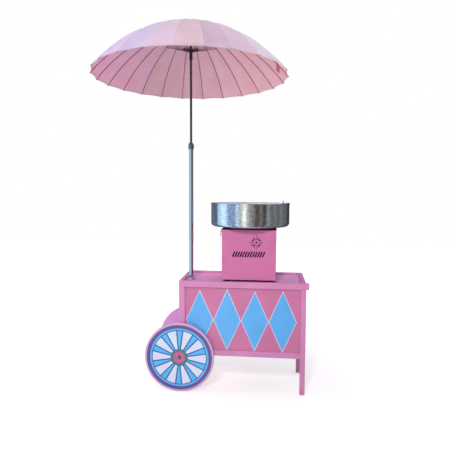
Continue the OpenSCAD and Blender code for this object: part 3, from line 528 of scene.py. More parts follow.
class Paints:
    """The cart's finishes, by what each one is on."""

    # Painted and bare wood: soft sheen, with the grain just showing through the paint
    rail = PaintedWood("softwood_brushed_pink_x", FRAME_PINK, 0.42, Grain.ALONG_X)
    post = PaintedWood("softwood_brushed_pink_z", FRAME_PINK, 0.42, Grain.ALONG_Z)
    panel = PaintedWood("plywood_rolled_pink", "#cb77a3", 0.4, Grain.ALONG_X, 5.0)
    deck = PaintedWood("plywood_rolled_lilac", "#e3a6d5", 0.4, Grain.ALONG_X, 5.0)
    wheel = PaintedWood("plywood_brushed_lilac", "#d39fd7", 0.42, Grain.ALONG_X, 5.0)
    board = BarePlywood("plywood_sanded_birch", "#c79f76", 0.65)
    # Coated sheet steel: even colour with a soft gloss
    housing = PowderCoat("steel_powder_coated_pink", "#cb70a3", 0.36)
    # Metals: bright bands on the plated tube, duller ones on cast and turned pieces
    chrome = BareMetal("steel_tube_chrome_plated", "#a9b1bc", 0.13, 6.0, (1.0, 1.0, 0.03), 0.06, 0.002)
    zinc = BareMetal("steel_zinc_plated", "#c3c6cb", 0.3, 4.0)
    alloy = BareMetal("aluminium_turned", "#d0d0cf", 0.28, 1.2, (0.02, 0.02, 1.0), 0.25, 0.03)
    collar = BareMetal("zinc_die_cast", "#7d8083", 0.32, 3.0)
    nut = BareMetal("steel_turned_oiled", "#8a8487", 0.4, 3.0)
    flange = BareMetal("zinc_cast_matt", "#e0e0e2", 0.6, 3.0)
    # Enamel, plastic and rubber: deep plain tones, from glossy on the shaft to dull on the black sheet of painted
    # shade behind the vents
    motor = MouldedPart("steel_motor_enamelled", "#6a6d70", 0.45)
    shaft = MouldedPart("steel_tube_painted_slate", "#2e333d", 0.25)
    hub = MouldedPart("nylon_moulded_black", "#1a191c", 0.4)
    wire = MouldedPart("steel_wire_coated_grey", "#94707f", 0.4)
    black_steel = MouldedPart("steel_sheet_enamelled_black", "#151416", 0.5)
    rubber = MouldedPart("rubber_moulded_black", "#141314", 0.7)
    # Painted shade: a matt black sheet behind the vents, so that they read dark
    vent_shade = MouldedPart("black_vent_shade", "#050505", 1.0, 3.0, 1.15)
    control = MouldedPart("abs_moulded_black", "#17171a", 0.33)
    # Woven cloth: matt and soft, and rosy on the inside where light comes through; the tones of the gores and linings
    # are partly painted light and shade, set by where each gore faces
    cloth_pink = WovenCloth("polyester_woven_pink", "#c6afbb", 0.8)
    cloth_pale = WovenCloth("polyester_woven_pale", "#c8b6c9", 0.8)
    cloth_mauve = WovenCloth("polyester_woven_mauve", "#bba8bd", 0.8)
    cloth_lilac = WovenCloth("polyester_woven_lilac", "#bdafd1", 0.8)
    cloth_violet = WovenCloth("polyester_woven_violet", "#aea2cd", 0.8)
    # Painted light: a lighter lilac for gores that the lamps leave darker
    cloth_lit_lilac = WovenCloth("polyester_woven_lit_lilac", "#d3c9e0", 0.8)
    inside = WovenCloth("polyester_woven_inside", "#ffc9d1", 0.85)
    inside_blush = WovenCloth("polyester_woven_inside_blush", "#fec8d8", 0.85)
    inside_mauve = WovenCloth("polyester_woven_inside_mauve", "#fdc7e0", 0.85)
    strap = WovenCloth("polyester_woven_salmon", "#d9a09c", 0.85)
    # Printed film: flat strong colours under a light gloss
    film_white = PrintedFilm("film_printed_white", "#e3edfb", 0.3)
    film_blue = PrintedFilm("film_printed_light_blue", "#57b2f5", 0.3)


class Ink(Enum):
    """Printed films of the wheels' faces, flat strong colours under a light gloss, in the order of their slots."""

    PINK = PrintedFilm("film_printed_pink", "#c8629a", 0.3)
    RED = PrintedFilm("film_printed_red", "#d8405f", 0.3)
    TEAL = PrintedFilm("film_printed_teal", "#3c7d83", 0.3)
    NAVY = PrintedFilm("film_printed_navy", "#0b407c", 0.3)
    SKY = PrintedFilm("film_printed_sky_blue", "#55befd", 0.3)
    SLATE = PrintedFilm("film_printed_slate", "#445a96", 0.3)
    PURPLE = PrintedFilm("film_printed_purple", "#773a94", 0.3)
    LILAC = PrintedFilm("film_printed_lilac", "#d6aad5", 0.3)
    LAVENDER = PrintedFilm("film_printed_lavender", "#dbe7ff", 0.3)

    @property
    def slot(self) -> int:
        """Return the film's slot number."""
        return list(Ink).index(self)


# Outer and inner tones of the parasol's gores, by a letter for each; they differ a little, partly as painted light
# and shade: lighter, darker, bluer or pinker by where each gore faces
OUTER_TONES_AND_LIGHT: dict[str, Finish] = {"p": Paints.cloth_pink, "a": Paints.cloth_pale, "m": Paints.cloth_mauve,
                            "l": Paints.cloth_lilac, "v": Paints.cloth_violet, "w": Paints.cloth_lit_lilac}
INNER_TONES_AND_LIGHT: dict[str, Finish] = {"r": Paints.inside, "b": Paints.inside_blush, "m": Paints.inside_mauve}


@dataclass
class Draft:
    """Points and faces of one piece while it is being drawn."""

    points: list[Point] = field(default_factory=list)
    faces: list[tuple[int, ...]] = field(default_factory=list)
    slots: list[int] = field(default_factory=list)
    soft: list[bool] = field(default_factory=list)
    runs: dict[str, tuple[float, ...]] = field(default_factory=dict)

    def row(self, points: Iterable[Sequence[float]]) -> list[int]:
        """Add points.

        Args:
            points: The points, in metres.

        Returns:
            Their numbers.
        """
        start = len(self.points)
        self.points.extend((p[0], p[1], p[2]) for p in points)
        return list(range(start, len(self.points)))

    def face(self, corners: Sequence[int], slot: int = 0, soft: bool = False) -> None:
        """Add one face.

        Args:
            corners: Point numbers of its corners.
            slot: Number of the finish.
            soft: Whether the face shades smoothly.
        """
        self.faces.append(tuple(corners))
        self.slots.append(slot)
        self.soft.append(soft)

    def skin(self, rows: Sequence[Sequence[int]], closed: bool = False, slot: int = 0, soft: bool = False,
             flip: bool = False) -> None:
        """Lay four-sided faces between rows of points.

        Args:
            rows: Rows of point numbers, all of one length.
            closed: Whether each row's end meets its start.
            slot: Number of the finish.
            soft: Whether the faces shade smoothly.
            flip: Whether the faces look the other way.
        """
        for one, two in zip(rows, rows[1:]):
            count = len(one)
            for k in range(count if closed else count - 1):
                n = (k + 1) % count
                quad = (one[k], one[n], two[n], two[k])
                self.face(quad[::-1] if flip else quad, slot, soft)

    def shell(self, under: list[list[int]], over: list[list[int]], inside: int = 0) -> None:
        """Close two layers of rows into a thin sheet.

        Args:
            under: Rows of the lower layer's point numbers.
            over: Rows of the upper layer, point for point above the lower one.
            inside: Number of the lower layer's finish; the upper layer and the rim take the first.
        """
        self.skin(under, slot=inside, soft=True)
        self.skin(over, soft=True, flip=True)
        layers = list(zip(under, over))
        for rim in ([(r[0], s[0]) for r, s in layers], [(r[-1], s[-1]) for r, s in layers][::-1],
                    list(zip(under[-1], over[-1])), list(zip(under[0], over[0]))[::-1]):
            self.skin([[low for low, _ in rim], [top for _, top in rim]], flip=True)

    def cloth(self, across: int, along: int, thick: float,
              lay: Callable[[int, int, float], tuple[Vector, tuple[float, ...]]], inside: int = 0) -> None:
        """Lay a closed sheet of cloth, and note each point's runs along the threads and to the edges.

        Args:
            across: Number of steps across the sheet.
            along: Number of steps along it.
            thick: Thickness of the cloth.
            lay: Gives a point and its runs from its steps across and along and its height in the cloth.
            inside: Number of the lower layer's finish.
        """
        laid = [[[lay(u, v, lift) for u in range(across + 1)] for v in range(along + 1)] for lift in (0.0, thick)]
        self.shell(*([self.row(point for point, _ in line) for line in layer] for layer in laid), inside)
        noted = [runs for layer in laid for line in layer for _, runs in line]
        self.runs = dict(zip(CLOTH_RUNS, zip(*noted)))

    def lathe(self, profile: Sequence[Pair], place: Matrix, sides: int, slot: int = 0) -> None:
        """Turn a profile about the Z axis of a place and close its ends.

        Args:
            profile: Radius and height of each point, from the bottom up along the outside.
            place: Where the axis stands.
            sides: Number of sides.
            slot: Number of the finish.
        """
        rows = [self.row(place @ polar(a, r, h) for a in around(sides)) for r, h in profile]
        self.skin(rows, True, slot, True)
        self.face(rows[0][::-1], slot)
        self.face(rows[-1], slot)

    def prism(self, outline: Sequence[Pair], depth: float, place: Matrix, slot: int = 0) -> None:
        """Extrude an outline along the Z axis of a place.

        Args:
            outline: Corners in the place's XY plane, anticlockwise.
            depth: Length of the extrusion.
            place: Where the outline lies.
            slot: Number of the finish.
        """
        rows = [self.row(place @ Vector((x, y, h)) for x, y in outline) for h in (0.0, depth)]
        self.skin(rows, True, slot)
        self.face(rows[0][::-1], slot)
        self.face(rows[1], slot)

    def build(self, name: str, *finishes: Finish) -> bpy.types.Object:
        """Make the piece's mesh object.

        Args:
            name: Name of the piece.
            finishes: Finishes by number.

        Returns:
            The new object, at the frame's origin.
        """
        mesh = bpy.data.meshes.new(name)
        mesh.from_pydata(self.points, [], self.faces)
        for finish in finishes:
            mesh.materials.append(finish.material())
        mesh.polygons.foreach_set("material_index", self.slots)
        mesh.polygons.foreach_set("use_smooth", self.soft)
        for run, values in self.runs.items():
            mesh.attributes.new(run, "FLOAT", "POINT").data.foreach_set("value", values)
        mesh.update()
        piece = bpy.data.objects.new(name, mesh)
        bpy.context.scene.collection.objects.link(piece)
        return piece


def settle(piece: bpy.types.Object, body: str) -> bpy.types.Object:
    """Put a piece on its body and report it.

    Args:
        piece: Piece in its place at rest.
        body: Body that it moves with.

    Returns:
        The same piece.
    """
    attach(piece, body)
    log.info("%s rides on %s", piece.name, body)
    return piece


def dress(finish: Finish, *nodes: str, edge_mm: float = 0.0) -> None:
    """Give CAD nodes a finish, and rounded edges where they are of wood.

    Args:
        finish: Finish of the whole node.
        nodes: Names of the nodes.
        edge_mm: Rounding of the edges in millimetres, or none.
    """
    sharp = radians(40)  # corners turn further than this, and the facets of round parts less
    for name in nodes:
        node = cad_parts[name]
        node.data.materials.clear()
        node.data.materials.append(finish.material())
        if edge_mm:
            node.modifiers.new("weld", "WELD").merge_threshold = 0.01 * MM
            round_off = node.modifiers.new("round_edges", "BEVEL")
            round_off.width = edge_mm * MM
            round_off.segments = 3
            round_off.limit_method = "ANGLE"
            round_off.angle_limit = sharp
            round_off.harden_normals = True
        log.info("%s has finish %s", name, finish.name)


@dataclass
class ScrewSet:
    """Zinc-plated pan-head screws with a star recess, seated on a face that looks up."""

    name: str
    places: list[Vector]
    radius: float = 3.4 * MM
    height: float = 2.4 * MM
    sides: int = 24
    # Shares of the radius and the height along the head, from its seat to the floor of the recess
    head: tuple[Pair, ...] = ((1.0, 0.0), (1.0, 0.35), (0.86, 0.72), (0.6, 0.93), (0.34, 1.0), (0.28, 0.8),
                              (0.12, 0.35))

    def build(self) -> None:
        """Draw all the screws as one piece."""
        draft = Draft()
        for place in self.places:
            draft.lathe([(self.radius * r, self.height * h) for r, h in self.head], facing(place, UP),
                        self.sides)
        settle(draft.build(self.name, Paints.zinc), "cart")


@dataclass
class CartBody:
    """The wooden stall: posts, legs, rails, panels, deck and floor."""

    beam_edge_mm: float = 2.0
    board_edge_mm: float = 0.5

    def build(self) -> None:
        """Dress the wood."""
        dress(Paints.post, "front_left_post", "rear_left_post", "front_right_leg", "rear_right_leg", "axle_blocks",
              edge_mm=self.beam_edge_mm)
        dress(Paints.rail, "front_top_rail", "top_rails", "bottom_rails", edge_mm=self.beam_edge_mm)
        dress(Paints.panel, "front_panel", "side_panels", edge_mm=self.board_edge_mm)
        dress(Paints.deck, "deck", edge_mm=self.board_edge_mm)
        dress(Paints.board, "floor_board", edge_mm=self.board_edge_mm)


@dataclass
class PanelArt:
    """Row of blue diamonds with white edges, stuck on the front panel."""

    pitch: float = 174.7 * MM
    reaches_mm: tuple[Pair, ...] = ((191, 191), (202, 193), (190, 195), (197, 198))
    middle_x: float = 264.5 * MM
    middle_z: float = 463.5 * MM
    border: float = 3 * MM

    def build(self) -> None:
        """Draw the diamonds on the panel's face, with the slightly uneven tips of hand-cut film."""
        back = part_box("front_panel")[0][1]
        front = back - LIFT
        half, z = self.pitch / 2, self.middle_z
        draft = Draft()
        for k, (above, below) in enumerate(self.reaches_mm):
            x = self.middle_x + (k - (len(self.reaches_mm) - 1) / 2) * self.pitch
            up, down = above * MM, below * MM
            inside = 1 - self.border * hypot(half, up) / up / half
            rings = [draft.row(((x - half * share, y, z), (x, y, z - down * share),
                                (x + half * share, y, z), (x, y, z + up * share)))
                     for share, y in ((1.0, back), (1.0, front), (inside, front))]
            draft.skin(rings, True)
            draft.face(rings[2], 1)
            draft.face(rings[0][::-1])
        settle(draft.build("panel_diamonds", Paints.film_white, Paints.film_blue), "cart")


@dataclass
class CartWheel:
    """Plywood disc wheel with a printed face of ten spokes."""

    side: Side
    spokes: int = 10
    # Start and end of each printed ring as shares of the wheel's radius
    hub_rings: tuple[tuple[float, float, Ink], ...] = (
        (0.063, 0.150, Ink.PINK), (0.150, 0.165, Ink.RED), (0.165, 0.235, Ink.TEAL), (0.235, 0.247, Ink.NAVY))
    rim_rings: tuple[tuple[float, float, Ink], ...] = (
        (0.772, 0.794, Ink.NAVY), (0.794, 0.843, Ink.SKY), (0.843, 0.855, Ink.SLATE), (0.855, 0.893, Ink.PURPLE),
        (0.893, 0.944, Ink.SLATE), (0.944, 0.985, Ink.LILAC))
    # Films across one spoke and half of the gap on each side of it
    strips: tuple[Ink, ...] = (Ink.LAVENDER, Ink.LAVENDER, Ink.NAVY, Ink.SKY, Ink.SKY, Ink.SKY, Ink.NAVY,
                               Ink.LAVENDER, Ink.LAVENDER)
    spoke_half: float = radians(6.8)
    spoke_lean: float = radians(1.4)
    outline: float = 0.032
    steps: int = 8
    sides: int = 120

    def build(self) -> None:
        """Dress the disc and draw the print on its outer face."""
        body = f"{self.side.name.lower()}_wheel"
        dress(Paints.wheel, body)
        low, high, middle = extent(body)
        radius, out = (high.x - low.x) / 2, self.side.value
        face = low.y if self.side is Side.FRONT else high.y

        def spot(share: float, turn: float, lift: float = LIFT) -> Point:
            """Return the point at a share of the radius and a turn from the top."""
            r = share * radius
            return middle.x + r * sin(turn) * -out, face + out * lift, middle.z + r * cos(turn)

        draft = Draft()
        start, end = self.hub_rings[-1][1], self.rim_rings[0][0]
        hole, rim = self.hub_rings[0][0], self.rim_rings[-1][1]
        bands = [((inner, LIFT), (outer, LIFT), ink) for inner, outer, ink in (*self.hub_rings, *self.rim_rings)]
        bands += [((hole, 0.0), (hole, LIFT), Ink.PINK), ((rim, LIFT), (rim, 0.0), Ink.LILAC)]
        for *edges, ink in bands:
            draft.skin([draft.row(spot(share, a, lift) for a in around(self.sides)) for share, lift in edges],
                       True, ink.slot)
        gap = pi / self.spokes
        for k in range(self.spokes):
            lines = []
            for step in range(self.steps + 1):
                share = start + (end - start) * step / self.steps
                line = self.outline / share
                half = self.spoke_half - line / 2
                edge = half + line
                right = (half / 3, half, edge, (gap + edge) / 2, gap)
                lines.append(draft.row(spot(share, self.spoke_lean + 2 * gap * k + cut)
                                       for cut in (*(-cut for cut in right[::-1]), *right)))
            for one, two in zip(lines, lines[1:]):
                for col, ink in enumerate(self.strips):
                    draft.face((one[col], one[col + 1], two[col + 1], two[col]), ink.slot)
        settle(draft.build(f"{body}_print", *(ink.value for ink in Ink)), body)


@dataclass
class Mast:
    """The chromed mast tube, its flanges and screws, the lock collar, the parasol's shaft and the axle."""

    screw_count: int = 4
    screw_ring: float = 23 * MM
    flange_plate: float = 4 * MM

    def build(self) -> None:
        """Dress the tubes and screw down the flanges."""
        for finish, node in ((Paints.chrome, "mast_tube"), (Paints.collar, "lock_collar"),
                             (Paints.flange, "mast_flanges"), (Paints.shaft, "umbrella_shaft"),
                             (Paints.zinc, "axle"), (Paints.nut, "axle_nuts")):
            dress(finish, node)
        middle = extent("mast_tube")[2]
        for name, board in (("deck", "deck"), ("floor", "floor_board")):
            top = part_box(board)[1][2] + self.flange_plate - middle.z
            ScrewSet(f"{name}_flange_screws", [middle + polar(pi / 4 + a, self.screw_ring, top)
                                               for a in around(self.screw_count)]).build()


@dataclass
class Parasol:
    """Folding parasol: cloth gores between curved ribs, on stretchers that a runner pushes up."""

    ribs: int = 24
    # Letters of each gore's outer and inner tone, partly painted light and shade by where the gore faces
    outer_by_gore: str = "apmalampalampvvllapmawwa"
    inner_by_gore: str = "rrrrrrrrrbbmmmbrrrrrrrrr"
    phase: float = 1.5
    reach: float = 616 * MM
    rise: float = 325 * MM
    crown_slope: float = 5.0
    crown_rise: float = 748 * MM
    hole_r: float = 6 * MM
    hem_lap: float = 2 * MM
    cloth: float = 1.0 * MM
    edge_share: float = 0.1
    sag: float = 5 * MM
    hem_rise: float = 5.5 * MM
    across: int = 16
    along: int = 40
    fold_lean: float = 30.0
    fold_fall: float = 28.0
    bead: float = 10 * MM
    ring_r: float = 26 * MM
    ring_drop: float = 157 * MM
    pin: Pair = (267.5 * MM, -75.5 * MM)
    rod_d: float = 3 * MM
    rod_sides: int = 12
    arc_steps: int = 8
    eye_r: float = 2.5 * MM
    lead: float = 7 * MM
    lead_lap: float = 3 * MM
    tongue: float = 1.6 * MM
    fork: float = 9 * MM
    cheek: float = 1.2 * MM
    cheek_gap: float = 1.1 * MM
    pivot: Pair = (0.9 * MM, 2.6 * MM)
    boot: Pair = (2.1 * MM, 16 * MM)
    boot_taper: float = 1 * MM
    link_lean: float = 70.0
    strap_share: float = 0.86
    strap_size: Pair = (30 * MM, 42 * MM)
    strap_steps: tuple[int, int] = (6, 8)
    strap_off: Pair = (1.5 * MM, 4 * MM)
    strap_bulge: Pair = (0.8 * MM, 3 * MM)

    def __post_init__(self) -> None:
        """Work out the canopy's arc from its reach and rise."""
        _, high, middle = extent("mast_tube")
        self.axis = Vector((middle.x, middle.y, 0.0))
        self.crown_z = high.z + self.crown_rise
        start = radians(self.crown_slope)
        rim = 2 * atan(self.rise / self.reach) - start
        self.rad = self.reach / (sin(rim) - sin(start))
        self.arc_r = -self.rad * sin(start)
        self.arc_z = self.crown_z - self.rad * cos(start)
        self.slope_in = asin((self.hole_r - self.arc_r) / self.rad)
        self.slope_out = rim + self.hem_lap / self.rad

    def bearing(self, k: float) -> float:
        """Return a rib's turn about the mast, in radians."""
        return radians(self.phase + 360 / self.ribs * k)

    def on_arc(self, slope: float, turn: float, level: float) -> Vector:
        """Return the point at a slope of the canopy's arc, a turn and a distance from the arc's centre."""
        return self.axis + polar(turn, self.arc_r + level * sin(slope), self.arc_z + level * cos(slope))

    def build(self) -> None:
        """Dress the ribs and the hub, and make the cloth and the stretchers."""
        dress(Paints.hub, "crown_notch", "top_cap", "runner")
        rod = FibreglassRod("fibreglass_rod_dark_red", "#bc1b35", 0.35, tuple(self.axis), self.reach - self.bead)
        dress(rod, *(f"rib_{k:02d}" for k in range(1, self.ribs + 1)))
        for k in range(self.ribs):
            self.gore(k)
            self.stretcher(k)
        self.tie_strap()

    def gore(self, k: int) -> None:
        """Sew one gore between two ribs, as a closed sheet that moves with the first of them.

        Args:
            k: Number of the gore's first rib, from 0.
        """
        half, rib = pi / self.ribs, f"rib_{k + 1:02d}"

        def lay(u: int, v: int, lift: float) -> tuple[Vector, tuple[float, ...]]:
            """Place a point of the gore, which sags between the ribs and has a scalloped hem.

            Args:
                u: Steps across the gore.
                v: Steps along it.
                lift: Height in the cloth.

            Returns:
                The point and its runs.
            """
            over, share = u / self.across, v / self.along
            turn = 2 * half * (over - 0.5)
            lowest = self.slope_out - self.hem_rise / self.rad * sin(pi * over)
            slope = self.slope_in + (lowest - self.slope_in) * share
            sewn = u in (0, self.across) or v == self.along
            level = self.rad + (lift * self.edge_share if sewn else lift) - self.sag * share * 4 * over * (1 - over)
            r = (self.arc_r + level * sin(slope)) * cos(half) / cos(turn)
            side = r * sin(turn)
            runs = (side + k, slope * self.rad, r * sin(half) - abs(side), (lowest - slope) * self.rad)
            return self.axis + polar(self.bearing(k + 0.5) + turn, r, self.arc_z + level * cos(slope)), runs

        draft = Draft()
        draft.cloth(self.across, self.along, self.cloth, lay, 1)
        piece = draft.build(f"gore_{k + 1:02d}", OUTER_TONES_AND_LIGHT[self.outer_by_gore[k]], INNER_TONES_AND_LIGHT[self.inner_by_gore[k]])
        flat = (2 * self.reach * sin(half), self.rad * (self.slope_out - self.slope_in))
        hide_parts("canopy")
        settle(piece, rib)
        turn, lean, fall = self.bearing(k), radians(self.fold_lean), radians(self.fold_fall)
        axis = polar(turn + pi / 2) * cos(lean) - polar(turn, sin(fall), cos(fall)) * sin(lean)
        anchor = self.on_arc((self.slope_in + self.slope_out) / 2, turn, self.rad)
        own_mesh(piece)

    def tie_strap(self) -> None:
        """Hang the closing strap from the seam beside the first rib."""
        wide, long = self.strap_size
        across, along = self.strap_steps
        turn = self.bearing(0)
        slope = self.slope_in + (self.slope_out - self.slope_in) * self.strap_share
        run, side = polar(turn, cos(slope), -sin(slope)), polar(turn + pi / 2)
        top = self.on_arc(slope, turn, self.rad - self.strap_off[0]) + side * self.strap_off[1]

        def lay(u: int, v: int, lift: float) -> tuple[Vector, tuple[float, ...]]:
            """Place a point of the strap, which bulges a little as it hangs.

            Args:
                u: Steps across the strap.
                v: Steps down it.
                lift: Height in the cloth.

            Returns:
                The point and its runs.
            """
            over, drop = wide * (u / across - 0.5), long * v / along
            bulge = self.strap_bulge[0] * sin(2 * pi * u / across) + self.strap_bulge[1] * sin(pi * v / along)
            point = top + run * over + side * (bulge + lift) - Vector(UP) * drop
            return point, (over, drop, wide / 2 - abs(over), long - drop)

        draft = Draft()
        draft.cloth(across, along, self.cloth, lay)
        piece = settle(draft.build("tie_strap", Paints.strap), "rib_01")
        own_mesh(piece)

    def stretcher(self, k: int) -> None:
        """Make one stretcher: a wire with a flat eye and a black boot at the runner, and a fork on its rib.

        Args:
            k: Number of the stretcher's rib, from 0.
        """
        turn, lean = self.bearing(k), radians(self.link_lean)
        start = self.axis + polar(turn, self.ring_r, self.crown_z - self.ring_drop)
        end = self.axis + polar(turn, self.pin[0], self.crown_z + self.pin[1])
        run, side = (end - start).normalized(), polar(turn + pi / 2)
        length, lead, rod = (end - start).length, self.lead, self.rod_d / 2
        wire = facing(start, run)
        draft = Draft()
        draft.lathe([(rod, lead - self.lead_lap), (rod, length - self.fork)], wire, self.rod_sides)
        thick, tip, taper = self.boot[0], lead + self.boot[1], self.boot_taper
        draft.lathe([(rod, lead), (thick, lead + taper), (thick, tip), (rod, tip + taper)], wire, self.rod_sides, 1)
        flat = Matrix.Translation(start) @ Matrix((run, run.cross(side), side)).transposed().to_4x4()
        arc = [polar(pi * a / self.arc_steps - pi / 2) for a in range(self.arc_steps + 1)]
        tongue = [(-self.eye_r * p.x, -self.eye_r * p.y) for p in arc] + [(lead, -self.tongue), (lead, self.tongue)]
        draft.prism(tongue, self.tongue, flat @ Matrix.Translation((0, 0, -self.tongue / 2)))
        root = length - self.fork - rod
        cheek = [(root, -rod), *((length + rod * p.x, rod * p.y) for p in arc), (root, rod)]
        for shift in (-self.cheek_gap - self.cheek, self.cheek_gap):
            draft.prism(cheek, self.cheek, flat @ Matrix.Translation((0, 0, shift)))
        pivot_r, pivot_end = self.pivot
        draft.lathe([(pivot_r, -pivot_end), (pivot_r, pivot_end)], facing(end, side), self.rod_sides)
        piece = draft.build(f"stretcher_{k + 1:02d}", Paints.wire, Paints.hub)
        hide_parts("stretchers")
        settle(piece, "runner")
        axis = tuple(polar(turn, sin(lean), -cos(lean)))
        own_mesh(piece)


@dataclass
class CandyMachine:
    """The floss machine: a sheet metal case with a spun bowl, a spinner head, its controls and a latch."""

    wall: float = 1.5 * MM
    liner_inset: float = 40 * MM
    liner_drop: Pair = (25 * MM, 190 * MM)
    liner_thick: float = 1.5 * MM
    rib_pitch: float = 8 * MM
    mat_thick: float = 1.2 * MM
    mat_lip: float = 4 * MM
    mat_points: int = 64
    seat_gap: float = 1 * MM
    bead: float = 3 * MM
    peg_turn: float = -35.0
    peg_tall: float = 14 * MM
    peg_sleeve: Pair = (2.2 * MM, 19 * MM)
    sleeve_sides: int = 16
    # Shares of the sleeve's radius, and heights from its length, at its rounded end
    sleeve_end: tuple[Pair, ...] = ((1.0, -1 * MM), (0.7, -LIFT), (0.3, LIFT))
    dial: Pair = (22.5 * MM, 28 * MM)
    dial_points: int = 96
    marks: int = 11
    sweep: float = 270.0
    # Where long and short marks start, as shares of the dial's width; half the first mark's width, and its growth
    mark_from: Pair = (0.3, 0.5)
    mark_half: Pair = (0.3 * MM, 0.05 * MM)
    pointer: Pair = (0.2, 0.62)
    pointer_half: float = 0.8 * MM
    window: Pair = (17 * MM, 35 * MM)
    # Width and height of each point of the switch's bezel, from the window's edge round its outside
    bezel: tuple[Pair, ...] = ((0.0, 0.0), (3 * MM, 0.0), (3 * MM, 0.8 * MM), (2.2 * MM, 1.4 * MM),
                               (0.0, 1.4 * MM), (0.0, 0.0))

    def build(self) -> None:
        """Dress the machine's parts and add its small trim."""
        self.shade_vents()
        self.lay_shade_mats()
        self.print_dial()
        self.frame_switch()
        self.sleeve_peg()
        dress(Paints.housing, "housing")
        # The base plate is black as painted shade in the gap under the housing; the latch is black enamelled steel
        dress(Paints.black_steel, "base_plate", "latch_base", "latch_lever")
        dress(Paints.rubber, "feet", "bowl_gasket")
        axis = tuple(extent("bowl")[2])
        dress(SugaredBowl("stainless_sheet_spun", "#c9cbcd", 0.2, 7.0, EVENLY, 0.45, 0.08, axis), "bowl")
        dress(Paints.alloy, "spinner_head")
        dress(Paints.motor, "motor")
        dress(Paints.control, "control_knob", "rocker_switch")

    def shade_vents(self) -> None:
        """Put a ribbed black sheet behind the vents as painted shade, so that they look black."""
        low, high, _ = extent("housing")
        left, right = low.x + self.liner_inset, high.x - self.liner_inset
        near = low.y + self.wall + LIFT
        count = 4 * round((right - left) / self.rib_pitch)
        waves = [self.liner_thick * (0.5 - 0.5 * cos(pi * k / 2)) for k in range(count + 1)]
        draft = Draft()
        draft.shell(*([draft.row((left + (right - left) * k / count, near + depth + wave, high.z - drop)
                                 for k, wave in enumerate(waves)) for drop in self.liner_drop[::-1]]
                      for depth in (0.0, self.liner_thick)))
        settle(draft.build("vent_shade_sheet", Paints.vent_shade), "cart")

    def lay_shade_mats(self) -> None:
        """Lay a black rubber sheet under the machine and a lipped one on its top, both showing as a black line:
        painted shade in the gap under the housing, and a darker band under the bowl.
        """
        low, high, middle = extent("housing")
        seat_low, seat_high, _ = extent("bowl_gasket")
        half, hole = (high.x - low.x) / 2, (seat_high.x - seat_low.x) / 2 + self.seat_gap
        deck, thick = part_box("deck")[1][2], self.mat_thick
        inner, outer, small, lip = half + LIFT, half + thick, half - 2 * thick, high.z - self.mat_lip
        draft = Draft()
        turns = around(self.mat_points)

        def ring(reach: float, z: float, square: bool = True) -> list[int]:
            """Add a square of points, or a circle, round the machine's axis."""
            reaches = [reach / max(abs(cos(a)), abs(sin(a))) if square else reach for a in turns]
            return draft.row(middle + polar(a, r, z - middle.z) for a, r in zip(turns, reaches))

        for rows in ([ring(hole, high.z, False), ring(inner, high.z), ring(inner, lip), ring(outer, lip),
                      ring(outer, high.z + thick), ring(hole, high.z + thick, False)],
                     [ring(hole, deck, False), ring(small, deck), ring(small, deck + thick),
                      ring(hole, deck + thick, False)]):
            draft.skin([*rows, rows[0]], True)
        settle(draft.build("machine_shade_mats", Paints.rubber), "cart")

    def sleeve_peg(self) -> None:
        """Push a black rubber sleeve over the net peg on the bowl's rim."""
        low, high, middle = extent("bowl")
        reach, (r, tall) = (high.x - low.x) / 2 - self.bead, self.peg_sleeve
        foot = middle + polar(radians(self.peg_turn), reach, high.z - self.peg_tall - middle.z)
        draft = Draft()
        draft.lathe([(r, 0.0), *((r * share, tall + up) for share, up in self.sleeve_end)], facing(foot, UP),
                    self.sleeve_sides)
        settle(draft.build("peg_sleeve", Paints.rubber), "bowl")

    def print_dial(self) -> None:
        """Stick a ring of heat marks round the knob, and a white line on the knob's ridge."""
        low, high, middle = extent("control_knob")
        place, ridge = (facing((middle.x, y, middle.z), (0.0, 1.0, 0.0)) for y in (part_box("housing")[1][1], high.y))
        inner, outer = self.dial
        draft = Draft()
        profile = ((inner, 0.0), (outer, 0.0), (outer, LIFT), (inner, LIFT), (inner, 0.0))
        draft.skin([draft.row(place @ polar(a, r, h) for a in around(self.dial_points)) for r, h in profile], True)
        for k in range(self.marks):
            turn = radians(self.sweep * (k / (self.marks - 1) - 0.5))
            start = inner + (outer - inner) * self.mark_from[1 if k % 5 else 0]
            end, half = outer - LIFT, self.mark_half[0] + self.mark_half[1] * k
            spun = place @ Matrix.Rotation(turn, 4, "Z") @ Matrix.Translation((0.0, 0.0, LIFT))
            draft.prism([(start, -half), (end, -half), (end, half), (start, half)], LIFT / 2, spun, 1)
        settle(draft.build("heat_dial", Paints.film_white, Paints.control), "cart")
        line = Draft()
        up = ridge.inverted().to_3x3() @ Vector(UP)
        side = Vector((-up.y, up.x, 0.0)) * self.pointer_half
        foot, tip = (up * share * (high.z - low.z) / 2 for share in self.pointer)
        line.prism([(c.x, c.y) for c in (tip - side, tip + side, foot + side, foot - side)], LIFT, ridge)
        settle(line.build("knob_pointer", Paints.film_white), "knob")

    def frame_switch(self) -> None:
        """Fit the rocker switch's moulded bezel over its window."""
        middle = extent("rocker_switch")[2]
        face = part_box("housing")[0][0]
        draft = Draft()
        rings = []
        for grow, out in self.bezel:
            w, h = (side / 2 + grow for side in self.window)
            rings.append(draft.row((face - out, middle.y + y, middle.z + z)
                                   for y, z in ((-w, -h), (w, -h), (w, h), (-w, h))))
        draft.skin(rings, True, flip=True)
        settle(draft.build("rocker_bezel", Paints.control), "cart")


